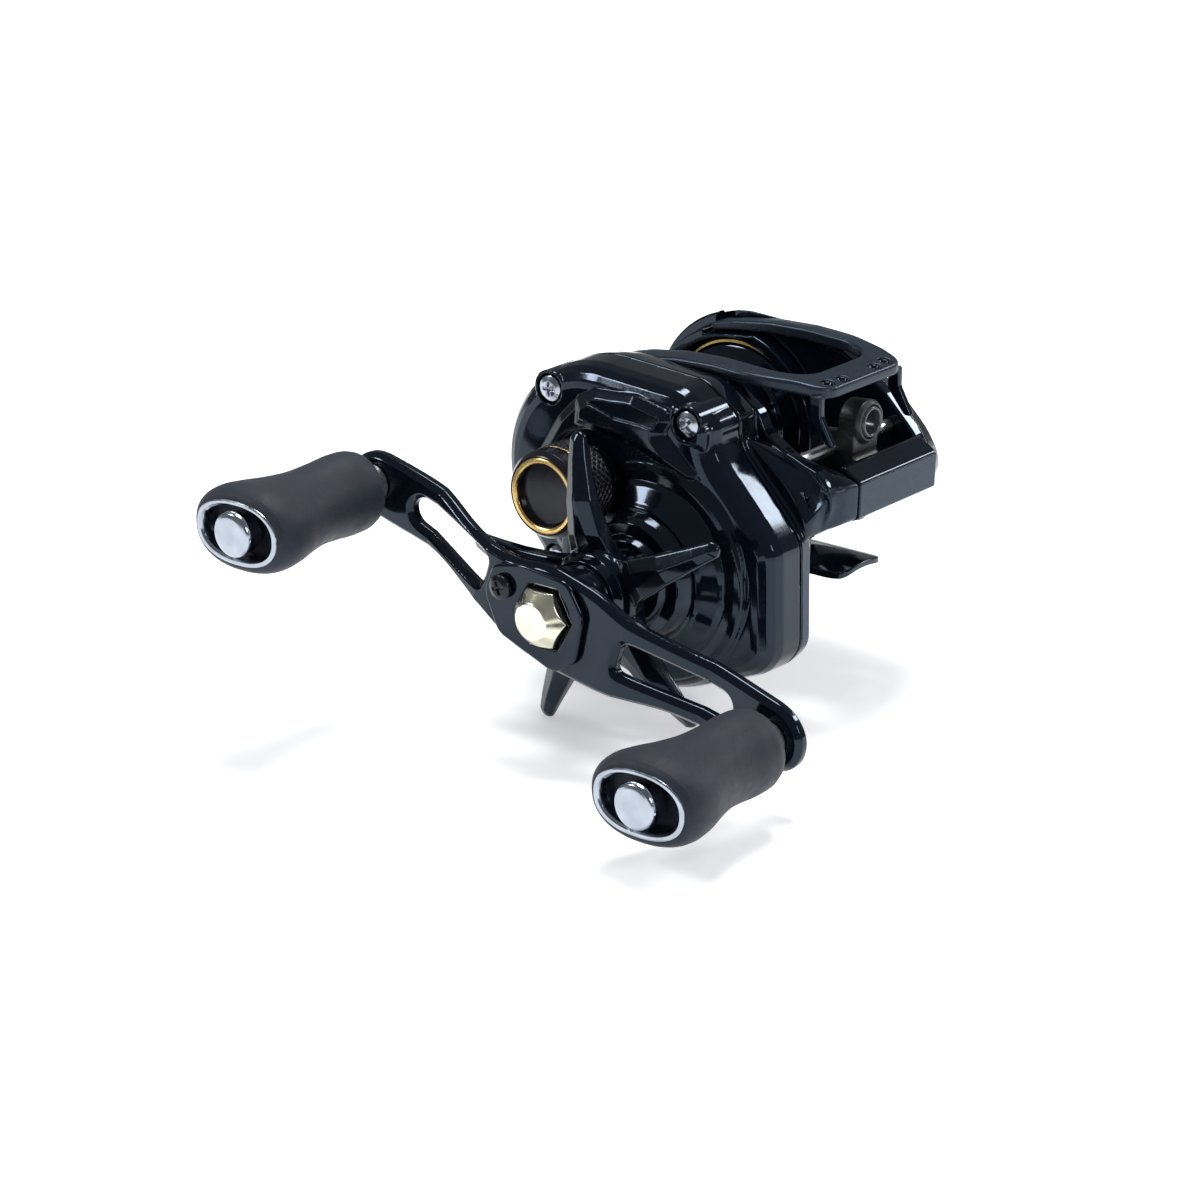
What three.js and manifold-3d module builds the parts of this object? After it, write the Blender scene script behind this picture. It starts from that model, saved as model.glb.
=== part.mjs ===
// Low-profile baitcasting reel, right-hand retrieve. Millimetres.
// +X points to the handle, +Y forward to where the line leaves, +Z up.
// The origin is the middle of the flat pad under the reel foot.
import * as THREE from "three";
import { mergeVertices } from "three/addons/utils/BufferGeometryUtils.js";
import Module from "manifold-3d";

const wasm = await Module();
wasm.setup();

// ---------------------------------------------------------------- driving dimensions

const SPOOL = { y: -7, z: 18 }; // spool axis
const DRIVE = { y: 7, z: 4 }; // drive shaft axis
const WORM = { y: 27.5, z: 16.5 }; // line guide worm axis
const GUIDE_ROD = { y: 25.2, z: 23.2, r: 1.1 };
const EYELET = { y: 29, z: 28.1 };

const DRIVE_TEETH = 60;
const PINION_TEETH = 8;
const LAYSHAFT_TEETH = 28; // gear on the drive shaft that turns the worm
const IDLER_TEETH = 22;
const WORM_TEETH = 12;

const WALL_IN = 13.6; // inner face of each frame side wall
const WALL_OUT = 16.4; // outer face of each frame side wall
const RIM_OUT = 22; // outer edge of the frame's gear-side rim
const PLATE_FACE = 31; // outer face of the gear side plate
const BOSS_FACE = 39.2; // end of the one-way bearing boss
const SPOOL_R = 15.3;
const SPOOL_HALF = 12.6;
const CASE_R = 22.4; // gear case, about the drive axis
const BODY = { y: -7, z: 18, r: 20.3 }; // side outline, about a point near the spool axis

const HANDLE_REACH = 45; // drive axis to a knob axis
const HANDLE_PITCH = THREE.MathUtils.degToRad(-17.2);
const BLADE_FACE = 60; // outer face of the blade at its middle
const BLADE_DROP = 5; // how far the blade's ends sit inboard of its middle
const BLADE_THICK = 2.6;
const RETAINER_SCREW = { y: -9.3, z: 0.9 };
const KNOB_BASE = 59.4;
const KNOB_LENGTH = 30.3;

const STAR_ARMS = 5;
const STAR_REACH = 28.4;
const STAR_ANGLE = THREE.MathUtils.degToRad(100.3); // of the first arm, from +Y towards +Z

const FOOT = { rear: -28, front: 30, width: 13, thick: 1.1 };

// ---------------------------------------------------------------- materials

function material(color, roughness, metalness) {
  return new THREE.MeshStandardMaterial({ color, roughness, metalness });
}

const glossBlack = material(0x07080b, 0.12, 0.3);
const satinGraphite = material(0x1f2630, 0.38, 0.5);
const blackPlastic = material(0x101216, 0.5, 0);
const softGrip = material(0x1b1e24, 0.8, 0);
const gold = material(0xc2a14e, 0.25, 1);
const paleGold = material(0xcfd0a8, 0.22, 1);
const steel = material(0xb5b9be, 0.3, 1);
const chrome = material(0xc4c9d0, 0.1, 1);
const brass = material(0xb08d45, 0.35, 1);
const carbon = material(0x18191b, 0.6, 0);
const ceramic = material(0x2b2e33, 0.25, 0.2);

// ---------------------------------------------------------------- solids

// A closed geometry as a solid. Shared corners are merged, and slivers with no area dropped.
function solid(geometry) {
  const bare = geometry.index ? geometry.toNonIndexed() : geometry.clone();
  bare.deleteAttribute("normal");
  bare.deleteAttribute("uv");
  const merged = mergeVertices(bare, 1e-4);
  const corners = merged.index.array;
  const kept = [];
  for (let i = 0; i < corners.length; i += 3) {
    const [a, b, c] = [corners[i], corners[i + 1], corners[i + 2]];
    if (a !== b && b !== c && c !== a) kept.push(a, b, c);
  }
  const build = (triangles) =>
    new wasm.Manifold(
      new wasm.Mesh({
        numProp: 3,
        vertProperties: merged.attributes.position.array,
        triVerts: new Uint32Array(triangles),
      }),
    );
  const made = build(kept);
  return made.volume() > 0 ? made : build(kept.reverse());
}

function geometryOf(made) {
  const mesh = made.getMesh();
  const geometry = new THREE.BufferGeometry();
  geometry.setAttribute("position", new THREE.BufferAttribute(mesh.vertProperties, 3));
  geometry.setIndex(new THREE.BufferAttribute(mesh.triVerts, 1));
  geometry.computeVertexNormals();
  return geometry;
}

const join = (first, ...rest) => rest.reduce((a, b) => a.add(b), first);
const cut = (first, ...rest) => rest.reduce((a, b) => a.subtract(b), first);

// Turns of the axes: a shape drawn in (x, y) and raised along z lands in (Y, Z) raised along X, and so on.
const TO_X = new THREE.Matrix4().makeBasis(
  new THREE.Vector3(0, 1, 0),
  new THREE.Vector3(0, 0, 1),
  new THREE.Vector3(1, 0, 0),
);
const LATHE_TO_X = new THREE.Matrix4().makeBasis(
  new THREE.Vector3(0, 0, 1),
  new THREE.Vector3(1, 0, 0),
  new THREE.Vector3(0, 1, 0),
);
const LATHE_TO_Z = new THREE.Matrix4().makeBasis(
  new THREE.Vector3(1, 0, 0),
  new THREE.Vector3(0, 0, 1),
  new THREE.Vector3(0, -1, 0),
);

function shapeOf(points) {
  return new THREE.Shape(points.map(([x, y]) => new THREE.Vector2(x, y)));
}

// An outline extruded from low to high along an axis, with bevelled rims that keep the outline's size.
function prism(outline, low, high, turn = TO_X, bevel = 0, curveSegments = 10) {
  const shape = outline instanceof THREE.Shape ? outline : shapeOf(outline);
  const geometry = new THREE.ExtrudeGeometry(shape, {
    depth: high - low - 2 * bevel,
    steps: 1,
    curveSegments,
    bevelEnabled: bevel > 0,
    bevelThickness: bevel,
    bevelSize: bevel,
    bevelOffset: -bevel,
    bevelSegments: bevel > 0.8 ? 2 : 1,
  });
  geometry.translate(0, 0, low + bevel);
  geometry.applyMatrix4(turn);
  return solid(geometry);
}

// A profile of [along, radius] pairs turned about X, or about another axis with its own turn matrix.
// It starts and ends on the axis, or ends where it starts.
function turned(profile, { y = 0, z = 0, x = 0 } = {}, segments = 24, turn = LATHE_TO_X) {
  const points = profile.map(([along, radius]) => new THREE.Vector2(radius, along));
  const geometry = new THREE.LatheGeometry(points, segments);
  geometry.applyMatrix4(turn);
  geometry.translate(x, y, z);
  return solid(geometry);
}

const disc = (x0, x1, r, at, segments) =>
  turned([[x0, 0], [x0, r], [x1, r], [x1, 0]], at, segments);
const ring = (x0, x1, inner, outer, at, segments) =>
  turned([[x0, inner], [x0, outer], [x1, outer], [x1, inner], [x0, inner]], at, segments);

function box(x, y, z) {
  const geometry = new THREE.BoxGeometry(x[1] - x[0], y[1] - y[0], z[1] - z[0]);
  geometry.translate((x[0] + x[1]) / 2, (y[0] + y[1]) / 2, (z[0] + z[1]) / 2);
  return solid(geometry);
}

// Closed skin through loops of points, each with the same number of points, with flat ends.
function loft(loops) {
  const count = loops[0].length;
  const positions = loops.flat().flatMap((p) => [p.x, p.y, p.z]);
  const index = [];
  for (let s = 0; s + 1 < loops.length; s++) {
    for (let i = 0; i < count; i++) {
      const j = (i + 1) % count;
      const [a, b] = [s * count + i, s * count + j];
      index.push(a, b, b + count, a, b + count, a + count);
    }
  }
  for (const [end, flip] of [[0, true], [loops.length - 1, false]]) {
    const middle = new THREE.Vector3();
    loops[end].forEach((p) => middle.addScaledVector(p, 1 / count));
    const hub = positions.length / 3;
    positions.push(middle.x, middle.y, middle.z);
    for (let i = 0; i < count; i++) {
      const [a, b] = [end * count + i, end * count + ((i + 1) % count)];
      index.push(...(flip ? [hub, b, a] : [hub, a, b]));
    }
  }
  const geometry = new THREE.BufferGeometry();
  geometry.setAttribute("position", new THREE.Float32BufferAttribute(positions, 3));
  geometry.setIndex(index);
  return solid(geometry);
}

// An outline of [y, z] corners, each rounded by a radius, as evenly spaced points.
function roundedLoop(corners, radius, count) {
  const shape = new THREE.Shape();
  const at = corners.map(([y, z]) => new THREE.Vector2(y, z));
  at.forEach((corner, i) => {
    const before = at[(i + at.length - 1) % at.length];
    const after = at[(i + 1) % at.length];
    const reach = (other) => Math.min(radius, corner.distanceTo(other) * 0.48);
    const enter = corner.clone().lerp(before, reach(before) / corner.distanceTo(before));
    const leave = corner.clone().lerp(after, reach(after) / corner.distanceTo(after));
    if (i === 0) shape.moveTo(enter.x, enter.y);
    else shape.lineTo(enter.x, enter.y);
    shape.quadraticCurveTo(corner.x, corner.y, leave.x, leave.y);
  });
  shape.closePath();
  return shape.getSpacedPoints(count).slice(0, count);
}

const loopAtX = (points, x) => points.map((p) => new THREE.Vector3(x, p.x, p.y));

// The same loop pulled towards its middle, so that its width shrinks by twice the inset.
function insetLoop(points, inset) {
  const box2 = new THREE.Box2().setFromPoints(points);
  const middle = box2.getCenter(new THREE.Vector2());
  const size = box2.getSize(new THREE.Vector2());
  const scale = new THREE.Vector2(1 - (2 * inset) / size.x, 1 - (2 * inset) / size.y);
  return points.map((p) => p.clone().sub(middle).multiply(scale).add(middle));
}

function rings(shapeLoop, steps) {
  return loft(steps.map(([x, inset]) => loopAtX(insetLoop(shapeLoop, inset), x)));
}

// ---------------------------------------------------------------- scene graph

const reel = new THREE.Group();

function assembly(name, { y = 0, z = 0 } = {}, parent = reel) {
  const group = new THREE.Group();
  group.name = name;
  group.position.set(0, y, z);
  parent.add(group);
  return group;
}

function add(group, name, made, look) {
  const mesh = new THREE.Mesh(geometryOf(made), look);
  mesh.name = name;
  group.add(mesh);
  return mesh;
}

const bodyAssembly = assembly("body assembly");
const spoolAssembly = assembly("spool assembly", SPOOL);
const driveAssembly = assembly("drive assembly", DRIVE);
const wormAssembly = assembly("worm assembly", WORM);

// ---------------------------------------------------------------- side outlines

// Points on an arc about (y, z), in degrees from +Y towards +Z.
function arc(y, z, r, from, to, steps) {
  return Array.from({ length: steps + 1 }, (_, i) => {
    const angle = THREE.MathUtils.degToRad(from + ((to - from) * i) / steps);
    return [y + r * Math.cos(angle), z + r * Math.sin(angle)];
  });
}

// Gear side seen from the handle: spool housing above and behind, gear case below and in front.
const gearSide = [
  ...arc(BODY.y, BODY.z, BODY.r, 84, 225, 9),
  ...arc(DRIVE.y, DRIVE.z, CASE_R, 225, 290, 4),
  [29.6, -11],
  [32.6, -7],
  [32.2, 12.2],
  [29.4, 15.8],
  [19.9, 25.8],
  [18.7, 28.8],
  [19, 32],
  [11.4, 37.2],
];
const GEAR_LOOP = roundedLoop(gearSide, 2.2, 36);

// The frame's gear-side wall also reaches forward to the front panel.
const gearWall = [
  ...arc(BODY.y, BODY.z, BODY.r - 1.2, 84, 225, 9),
  ...arc(DRIVE.y, DRIVE.z, CASE_R - 1.4, 225, 290, 4),
  [26, -9.4],
  [27.6, -6],
  [28.4, 10.6],
  [32.2, 12.4],
  [34.4, 17],
  [34, 20.4],
  [31.2, 22.8],
  [25.4, 24.6],
  [20, 27.8],
  [18.4, 31.4],
  [11, 36],
];

// The palm-side wall: a round housing with an arm to the front panel.
const palmWall = [
  ...arc(BODY.y, BODY.z, BODY.r - 0.3, 90, 262, 9),
  [5, 1.4],
  [18, 6],
  [28, 10.6],
  [33.4, 12.6],
  [33.6, 17.6],
  [30.6, 22.6],
  [24, 29],
  [15, 34.7],
  [5, 37.4],
];

// ---------------------------------------------------------------- frame and foot

const FRAME_LIP = { inner: SPOOL_R + 0.7, outer: SPOOL_R + 2.6, from: 9.8 };

function sideLip(sign) {
  return ring(
    Math.min(sign * FRAME_LIP.from, sign * WALL_OUT),
    Math.max(sign * FRAME_LIP.from, sign * WALL_OUT),
    FRAME_LIP.inner,
    FRAME_LIP.outer,
    SPOOL,
    32,
  );
}

// The gear case steps in towards the spool at its lower front.
function caseLoop(inset, limit) {
  return insetLoop(GEAR_LOOP, inset).map((p) => {
    const low = p.y < WORM.z - 3;
    return new THREE.Vector2(low ? Math.min(p.x, limit) : p.x, p.y);
  });
}

// Underside of the hood's arms: [y, z] from the rear to the front.
const HOOD_SEAT = [[-13, 34], [-8, 34.9], [0, 35.8], [8, 36], [16, 35.6], [24, 34.9], [30, 34.1]];
const HOOD_POST = { from: 11.1, to: 12.4 }; // along X, clear of the line guide's travel

function makeFrame() {
  const rimWall = 1.7;
  const gearWallSolid = prism(gearWall, WALL_IN, WALL_OUT);
  const rimOuter = loft([
    loopAtX(caseLoop(1.3, 28), WALL_OUT - 1.2),
    loopAtX(caseLoop(0.8, 28.6), WALL_OUT + 0.6),
    loopAtX(caseLoop(0.4, 40), 19.2),
    loopAtX(caseLoop(0, 40), RIM_OUT),
  ]);
  const rimInner = loft([
    loopAtX(caseLoop(rimWall, 26.8), WALL_OUT),
    loopAtX(caseLoop(rimWall, 30.6), 19.6),
    loopAtX(caseLoop(rimWall, 40), RIM_OUT + 1),
  ]);
  // Bevelled arm that carries the front panel, thinning towards it.
  const arm = (x, points) => points.map(([y, z]) => new THREE.Vector3(x, y, z));
  const frontArm = loft([
    arm(WALL_OUT - 0.4, [[18, 26], [23.4, 25.4], [31, 21.4], [33.4, 18.4], [32.6, 12.4], [25, 11.4]]),
    arm(18.4, [[16, 28], [20.4, 27.2], [30.2, 20.8], [32.9, 16.8], [32.2, 12.3], [25, 10.4]]),
    arm(20.6, [[15, 29], [19.7, 27.6], [28.8, 20.2], [31.8, 15.2], [32, 12], [24, 10]]),
  ]);
  const frontCorner = loft([
    arm(10.3, [[31.7, 22], [35.9, 20.3], [35.7, 14.2], [34.4, 13.1], [31.9, 13]]),
    arm(WALL_IN, [[31.6, 22.6], [35.4, 20.2], [35, 13.8], [33.6, 12.8], [31.7, 12.6]]),
    arm(WALL_OUT, [[25, 25], [33.6, 19.4], [32.8, 12.6], [25, 12]]),
  ]);
  const trainRoom = join(
    disc(WALL_OUT, 18.9, 4, WORM, 16),
    disc(WALL_OUT, 19.4, 7, IDLER, 20),
  );
  const palmWallSolid = prism(palmWall, -WALL_OUT, -WALL_IN, TO_X, 0.6);
  const floor = prism(
    [[-20, 2.4], [16, 2.4], [18.5, 4.6], [18.5, 8.4], [14, 8], [9, 4.6], [-4, 3], [-16, 5.4],
     [-25, 12], [-26.4, 12], [-26.4, 7]],
    -WALL_OUT + 1,
    WALL_IN + 1,
  );
  const sweptRoom = disc(-WALL_IN - 1, WALL_IN - 0.02, SPOOL_R + 0.7, SPOOL, 32);
  const palmBore = disc(-WALL_OUT - 1, -WALL_IN + 1, SPOOL_R + 0.7, SPOOL, 32);
  const bearingSeat = ring(WALL_OUT - 0.1, WALL_OUT + 1.0, 4.05, 5.4, SPOOL, 20);
  const spoolSeat = disc(WALL_IN - 1, WALL_OUT + 2, 4.08, SPOOL, 20);
  const driveSeat = disc(WALL_IN - 1, WALL_OUT + 2, 5.08, DRIVE, 20);
  const idlerStud = disc(WALL_OUT - 0.5, 19.2, 1.5, IDLER, 12);
  const wormBore = disc(-WALL_OUT - 1, WALL_OUT + 1, 2.9, WORM, 16);
  const rodBore = disc(-WALL_OUT + 1.6, WALL_OUT - 0.2, GUIDE_ROD.r + 0.08, GUIDE_ROD, 12);
  const thumbSlotGear = box([WALL_IN - 1, 18.4], [-29, -24.95], [13.2, 24.4]);
  const thumbSlotPalm = box([-WALL_OUT - 1, -WALL_IN + 1.4], [-29, -24.95], [13.2, 24.4]);
  const hoodSeat = prism(
    [[-13.3, 44], ...HOOD_SEAT.map(([y, z]) => [y - (y < -12 ? 0.3 : 0), z - 0.3]), [31, 44]],
    -WALL_OUT - 1,
    WALL_OUT + 0.1,
  );
  return cut(
    join(
      cut(join(cut(join(gearWallSolid, rimOuter), rimInner), frontArm, frontCorner), trainRoom),
      palmWallSolid,
      cut(floor, sweptRoom),
      sideLip(1),
      sideLip(-1),
      bearingSeat,
      idlerStud,
    ),
    palmBore,
    spoolSeat,
    driveSeat,
    wormBore,
    rodBore,
    thumbSlotGear,
    thumbSlotPalm,
    hoodSeat,
    ...footScrewPlaces.map((y) => screwRoom(y)),
  );
}

const footScrewPlaces = [-17, 13];
const FOOT_TOP = 2.1;

function screwRoom(y) {
  return turned([[FOOT_TOP, 0], [FOOT_TOP, 1.1], [7.6, 1.1], [7.6, 0]], { y }, 12, LATHE_TO_Z);
}

// The foot is a saddle: flat in the middle, arched underneath towards both ends.
function makeFoot() {
  const half = FOOT.width / 2;
  const plan = roundedLoop(
    [[-half, FOOT.front - 2.4], [1 - half, FOOT.front], [half - 1, FOOT.front],
     [half, FOOT.front - 2.4], [half, FOOT.rear + 3], [half - 2, FOOT.rear], [2 - half, FOOT.rear],
     [-half, FOOT.rear + 3]],
    2.4,
    36,
  );
  const planSolid = prism(plan.map((p) => [p.x, p.y]), 0, 6, new THREE.Matrix4());
  const saddle = (lift, rise, low) =>
    prism(
      [[half + 0.5, low], ...arcOver(half + 0.5, lift, rise, 8), [-half - 0.5, low]],
      FOOT.rear - 1,
      FOOT.front + 1,
      SECTION_TO_Y,
    );
  const top = saddle(FOOT.thick, 1, -1);
  const under = cut(saddle(-0.2, 1.2, -2), box([-half - 2, half + 2], [-9, 9], [-3, 4]));
  const holes = footScrewPlaces.map((y) =>
    turned([[-1, 0], [-1, 2.1], [1.1, 2.1], [1.1, 1.1], [3, 1.1], [3, 0]], { y }, 14, LATHE_TO_Z),
  );
  return cut(planSolid.intersect(top), under, ...holes);
}

// Outline drawn in (x, z) and raised along Y.
const SECTION_TO_Y = new THREE.Matrix4().makeBasis(
  new THREE.Vector3(-1, 0, 0),
  new THREE.Vector3(0, 0, 1),
  new THREE.Vector3(0, 1, 0),
);

function arcOver(half, lift, rise, steps) {
  return Array.from({ length: steps + 1 }, (_, i) => {
    const x = half - (2 * half * i) / steps;
    return [x, lift + rise * (1 - (x / half) ** 2)];
  });
}

function makeFootScrew(y) {
  return turned(
    [[0.4, 0], [0.4, 1.8], [0.9, 1.8], [1, 0.95], [4.6, 0.95], [4.6, 0]],
    { y },
    12,
    LATHE_TO_Z,
  );
}

// ---------------------------------------------------------------- gear side plate

const PLATE_SCREWS = [
  { name: "rear", y: -16.3, z: 32.4, head: 31.2 },
  { name: "front", y: 13.9, z: 31.7, head: 31.2 },
  { name: "lower", y: -14.9, z: 1.3, head: 30.6 },
];

function makeGearSidePlate() {
  const shell = rings(GEAR_LOOP, [
    [RIM_OUT + 0.3, 0],
    [27.6, 0.2],
    [29.6, 1],
    [30.6, 2.2],
    [PLATE_FACE, 3.6],
  ]);
  const drum = turned(
    [[24, 0], [24, 21.6], [29, 21.4], [30.4, 20.8], [31.2, 20.2], [31.2, 19.4], [32.2, 18.4],
     [32.2, 0]],
    DRIVE,
    32,
  );
  const boss = turned(
    [[30, 0], [30, 16.2], [33.8, 15.6], [33.8, 13.6], [35.6, 12.6], [35.6, 11.2], [37.8, 10.4],
     [37.8, 8], [BOSS_FACE, 7.6], [BOSS_FACE, 0]],
    DRIVE,
    28,
  );
  const plateau = prism(
    [[-12.4, 29], [-10.6, 33.8], [-5, 35.2], [6, 33.6], [9.4, 31.4], [8.8, 28.6], [16, 23.6],
     [4, 26.8]],
    28,
    33,
    TO_X,
    0.9,
  );
  const knobWell = turned([[30.6, 0], [30.6, 8.8], [33, 9], [40, 9.4], [40, 0]], SPOOL, 28);
  const knobBoss = disc(24, 39, 5.5, SPOOL, 24);
  const room = rings(GEAR_LOOP, [[RIM_OUT, 1.7], [27.4, 1.9], [29.5, 3.4]]);
  const drumRoom = disc(RIM_OUT, 29.2, 19.2, DRIVE, 32);
  const bearingRoom = turned(
    [[28, 0], [28, 8.15], [35.9, 8.15], [35.9, 5.58], [38.6, 5.58], [38.6, 3.4], [41, 3.4], [41, 0]],
    DRIVE,
    24,
  );
  const spindleRoom = turned(
    [[22, 0], [22, 6.5], [29.5, 6.5], [29.5, 3.4], [40, 3.4], [40, 0]],
    SPOOL,
    20,
  );
  const screwHoles = PLATE_SCREWS.map(({ y, z, head }) =>
    turned(
      [[RIM_OUT - 1, 0], [RIM_OUT - 1, 1.3], [head - 1.9, 1.3], [head - 1.9, 2.75], [36, 2.75],
       [36, 0]],
      { y, z },
      16,
    ),
  );
  const screwPosts = PLATE_SCREWS.map(({ y, z, head }) =>
    turned([[RIM_OUT + 0.3, 0], [RIM_OUT + 0.3, 2.5], [head - 2, 3.4], [head - 0.4, 3.6],
            [head - 0.4, 0]], { y, z }, 16),
  );
  const outer = cut(join(shell, drum, plateau, boss), knobWell);
  return cut(
    join(cut(outer, room, drumRoom), knobBoss, ...screwPosts),
    bearingRoom,
    spindleRoom,
    ...screwHoles,
  );
}

// A screw with a low domed head and a cross recess, its head facing +X.
function makeScrew(x, reach, headR) {
  const body = turned([
    [x - reach, 0],
    [x - reach, headR * 0.44],
    [x - 1.3, headR * 0.44],
    [x - 1.3, headR],
    [x - 0.5, headR],
    [x - 0.1, headR * 0.6],
    [x, 0],
  ], {}, 12);
  const slot = headR * 0.55;
  return cut(
    body,
    box([x - 0.7, x + 1], [-slot, slot], [-0.25, 0.25]),
    box([x - 0.7, x + 1], [-0.25, 0.25], [-slot, slot]),
  );
}

// ---------------------------------------------------------------- palm side

const PALM_FACE = -26.6;
const DIAL_R = 8.6;

function makePalmSidePlate() {
  const loop = roundedLoop(palmWall, 2.4, 36);
  const shell = rings(loop, [
    [PALM_FACE, 9.4],
    [PALM_FACE + 1, 7],
    [PALM_FACE + 3.2, 4.6],
    [PALM_FACE + 6.4, 2.4],
    [-WALL_OUT - 0.3, 0.4],
  ]);
  const room = rings(loop, [
    [PALM_FACE + 2.8, 8.4],
    [PALM_FACE + 5, 5.6],
    [-WALL_OUT, 2.4],
  ]);
  const hub = turned(
    [[PALM_FACE + 2, 0], [PALM_FACE + 2, 6], [-18.4, 4.9], [-13.4, 4.9], [-13.4, 0]],
    SPOOL,
    28,
  );
  const bearingRoom = disc(-16.2, -12, 4.08, SPOOL, 24);
  const shaftRoom = disc(-20, -15, 1.6, SPOOL, 16);
  const dialRoom = turned(
    [[PALM_FACE - 2, 0], [PALM_FACE - 2, DIAL_R + 1.6], [PALM_FACE + 1.5, DIAL_R + 0.35],
     [PALM_FACE + 1.5, 0]],
    SPOOL,
    36,
  );
  const stemRoom = disc(PALM_FACE - 2, -22.4, 1.7, SPOOL, 16);
  return cut(join(cut(shell, room), hub), bearingRoom, shaftRoom, dialRoom, stemRoom);
}

// Brake dial with a raised grip bar and a notched edge.
function makeBrakeDial() {
  const face = PALM_FACE + 1.2;
  const dial = turned([
    [face, 0],
    [face, DIAL_R],
    [face - 1.3, DIAL_R],
    [face - 1.9, DIAL_R - 0.7],
    [face - 1.6, DIAL_R - 2],
    [face - 1.6, 0],
  ], {}, 28);
  const stem = disc(face - 0.5, -22.8, 1.4, {}, 16);
  const bar = box([face - 2.5, face - 1], [-DIAL_R + 2.4, DIAL_R - 2.4], [-1.1, 1.1]);
  const notches = Array.from({ length: 10 }, (_, i) => {
    const angle = (i / 10) * 2 * Math.PI;
    const [y, z] = [DIAL_R * Math.cos(angle), DIAL_R * Math.sin(angle)];
    return disc(face - 3, face + 1, 0.7, { y, z }, 6);
  });
  return cut(join(dial, stem, bar), ...notches);
}

// ---------------------------------------------------------------- hood and front panel

// The hood: two arms over the spool, a bar across the front and two short front posts.
function makeHood() {
  const plan = roundedLoop(
    [[-16.2, -13], [-16, 16], [-11.4, 29.7], [11.4, 29.7], [16, 16], [16.2, -13]],
    3.4,
    36,
  );
  const window = roundedLoop(
    [[-11.4, -16], [-11.4, 19], [-8, 23.6], [8, 23.6], [11.4, 19], [11.4, -16]],
    3,
    28,
  );
  const flat = new THREE.Matrix4();
  const planSolid = cut(
    prism(plan.map((p) => [p.x, p.y]), 20, 42, flat),
    prism(window.map((p) => [p.x, p.y]), 19, 43, flat),
  );
  const side = prism(
    [...HOOD_SEAT, [30, 36.2], [24, 37.2], [16, 37.9], [8, 38.3], [0, 38], [-8, 36.9],
     [-13, 35.6]],
    -18,
    18,
  );
  const posts = [-1, 1].map((sign) =>
    prism(
      [[26.4, 35], [26.4, 30.8], [30, 26.4], [31.6, 26.4], [28.8, 31.4], [28.8, 35]],
      sign > 0 ? HOOD_POST.from : -HOOD_POST.to,
      sign > 0 ? HOOD_POST.to : -HOOD_POST.from,
    ),
  );
  const dimples = [-1, 1].flatMap((sign) =>
    [[8.6, 27.4], [4.8, 27.9]].map(([x, y]) =>
      turned([[36, 0], [36, 1.1], [39, 1.1], [39, 0]], { x: sign * x, y }, 10, LATHE_TO_Z),
    ),
  );
  return cut(join(planSolid.intersect(side), ...posts), ...dimples);
}

function makeFrontPanel() {
  const section = [[31.5, 22.6], [32.4, 22.5], [35.9, 20.3], [35.7, 14], [34.4, 13.2], [31.9, 13],
                   [31.9, 14.4], [33.6, 14.9], [34.3, 15.8], [34.4, 19.6], [31.8, 21.2]];
  return prism(section, -WALL_IN + 0.3, 10);
}

// ---------------------------------------------------------------- spool

function makeSpool() {
  const half = SPOOL_HALF;
  return turned([
    [-half, SPOOL_R],
    [-half + 0.9, SPOOL_R],
    [-half + 1.2, SPOOL_R - 0.8],
    [-half + 2.2, 11.6],
    [-half + 3, 10.9],
    [half - 3, 10.9],
    [half - 2.2, 11.6],
    [half - 1.2, SPOOL_R - 0.8],
    [half - 0.9, SPOOL_R],
    [half, SPOOL_R],
    [half, SPOOL_R - 1.3],
    [half - 1.6, 10.1],
    [1, 9.9],
    [1, 2.6],
    [5, 2.3],
    [5, 1.06],
    [-5, 1.06],
    [-5, 2.3],
    [-1, 2.6],
    [-1, 9.9],
    [-half + 1.6, 10.1],
    [-half, SPOOL_R - 1.3],
    [-half, SPOOL_R],
  ], {}, 32);
}

const PIN_X = 20.2; // cross pin that the pinion's slot grips

function makeSpoolShaft() {
  const shaft = turned([
    [-17.6, 0],
    [-17.6, 0.7],
    [-17.2, 1],
    [39.4, 1],
    [39.9, 0.6],
    [39.9, 0],
  ], {}, 16);
  const pin = turned([[-1.9, 0], [-1.9, 0.42], [1.9, 0.42], [1.9, 0]], { x: PIN_X }, 10, LATHE_TO_Z);
  return join(shaft, pin);
}

function makeInductor() {
  return turned([
    [-11.6, 7.9],
    [-11.6, 8.5],
    [-5.4, 8.5],
    [-5.4, 2.5],
    [-6.1, 2.5],
    [-6.1, 7.9],
    [-11.6, 7.9],
  ], {}, 24);
}

// ---------------------------------------------------------------- gears

const ADDENDUM = 0.75;
const DEDENDUM = 1.05;
const TOOTH_SHARE = 0.38; // of the pitch, which leaves running clearance
const FLANK = 0.4;

// Straight-sided teeth, drawn in (y, z); phase turns the first tooth away from +Y.
function gearOutline(teeth, module_, phase = 0) {
  const pitchR = (module_ * teeth) / 2;
  const corners = [
    [-DEDENDUM, -1],
    [ADDENDUM, -1],
    [ADDENDUM, 1],
    [-DEDENDUM, 1],
  ];
  return Array.from({ length: teeth }, (_, i) => phase + (i / teeth) * 2 * Math.PI).flatMap(
    (middle) =>
      corners.map(([step, side]) => {
        const r = pitchR + step * module_;
        const halfWidth = (TOOTH_SHARE * Math.PI * module_) / 2 - FLANK * step * module_;
        const angle = middle + (side * halfWidth) / r;
        return [r * Math.cos(angle), r * Math.sin(angle)];
      }),
  );
}

const angleTo = (from, to) => Math.atan2(to.z - from.z, to.y - from.y);
const distance = (from, to) => Math.hypot(to.z - from.z, to.y - from.y);

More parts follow.
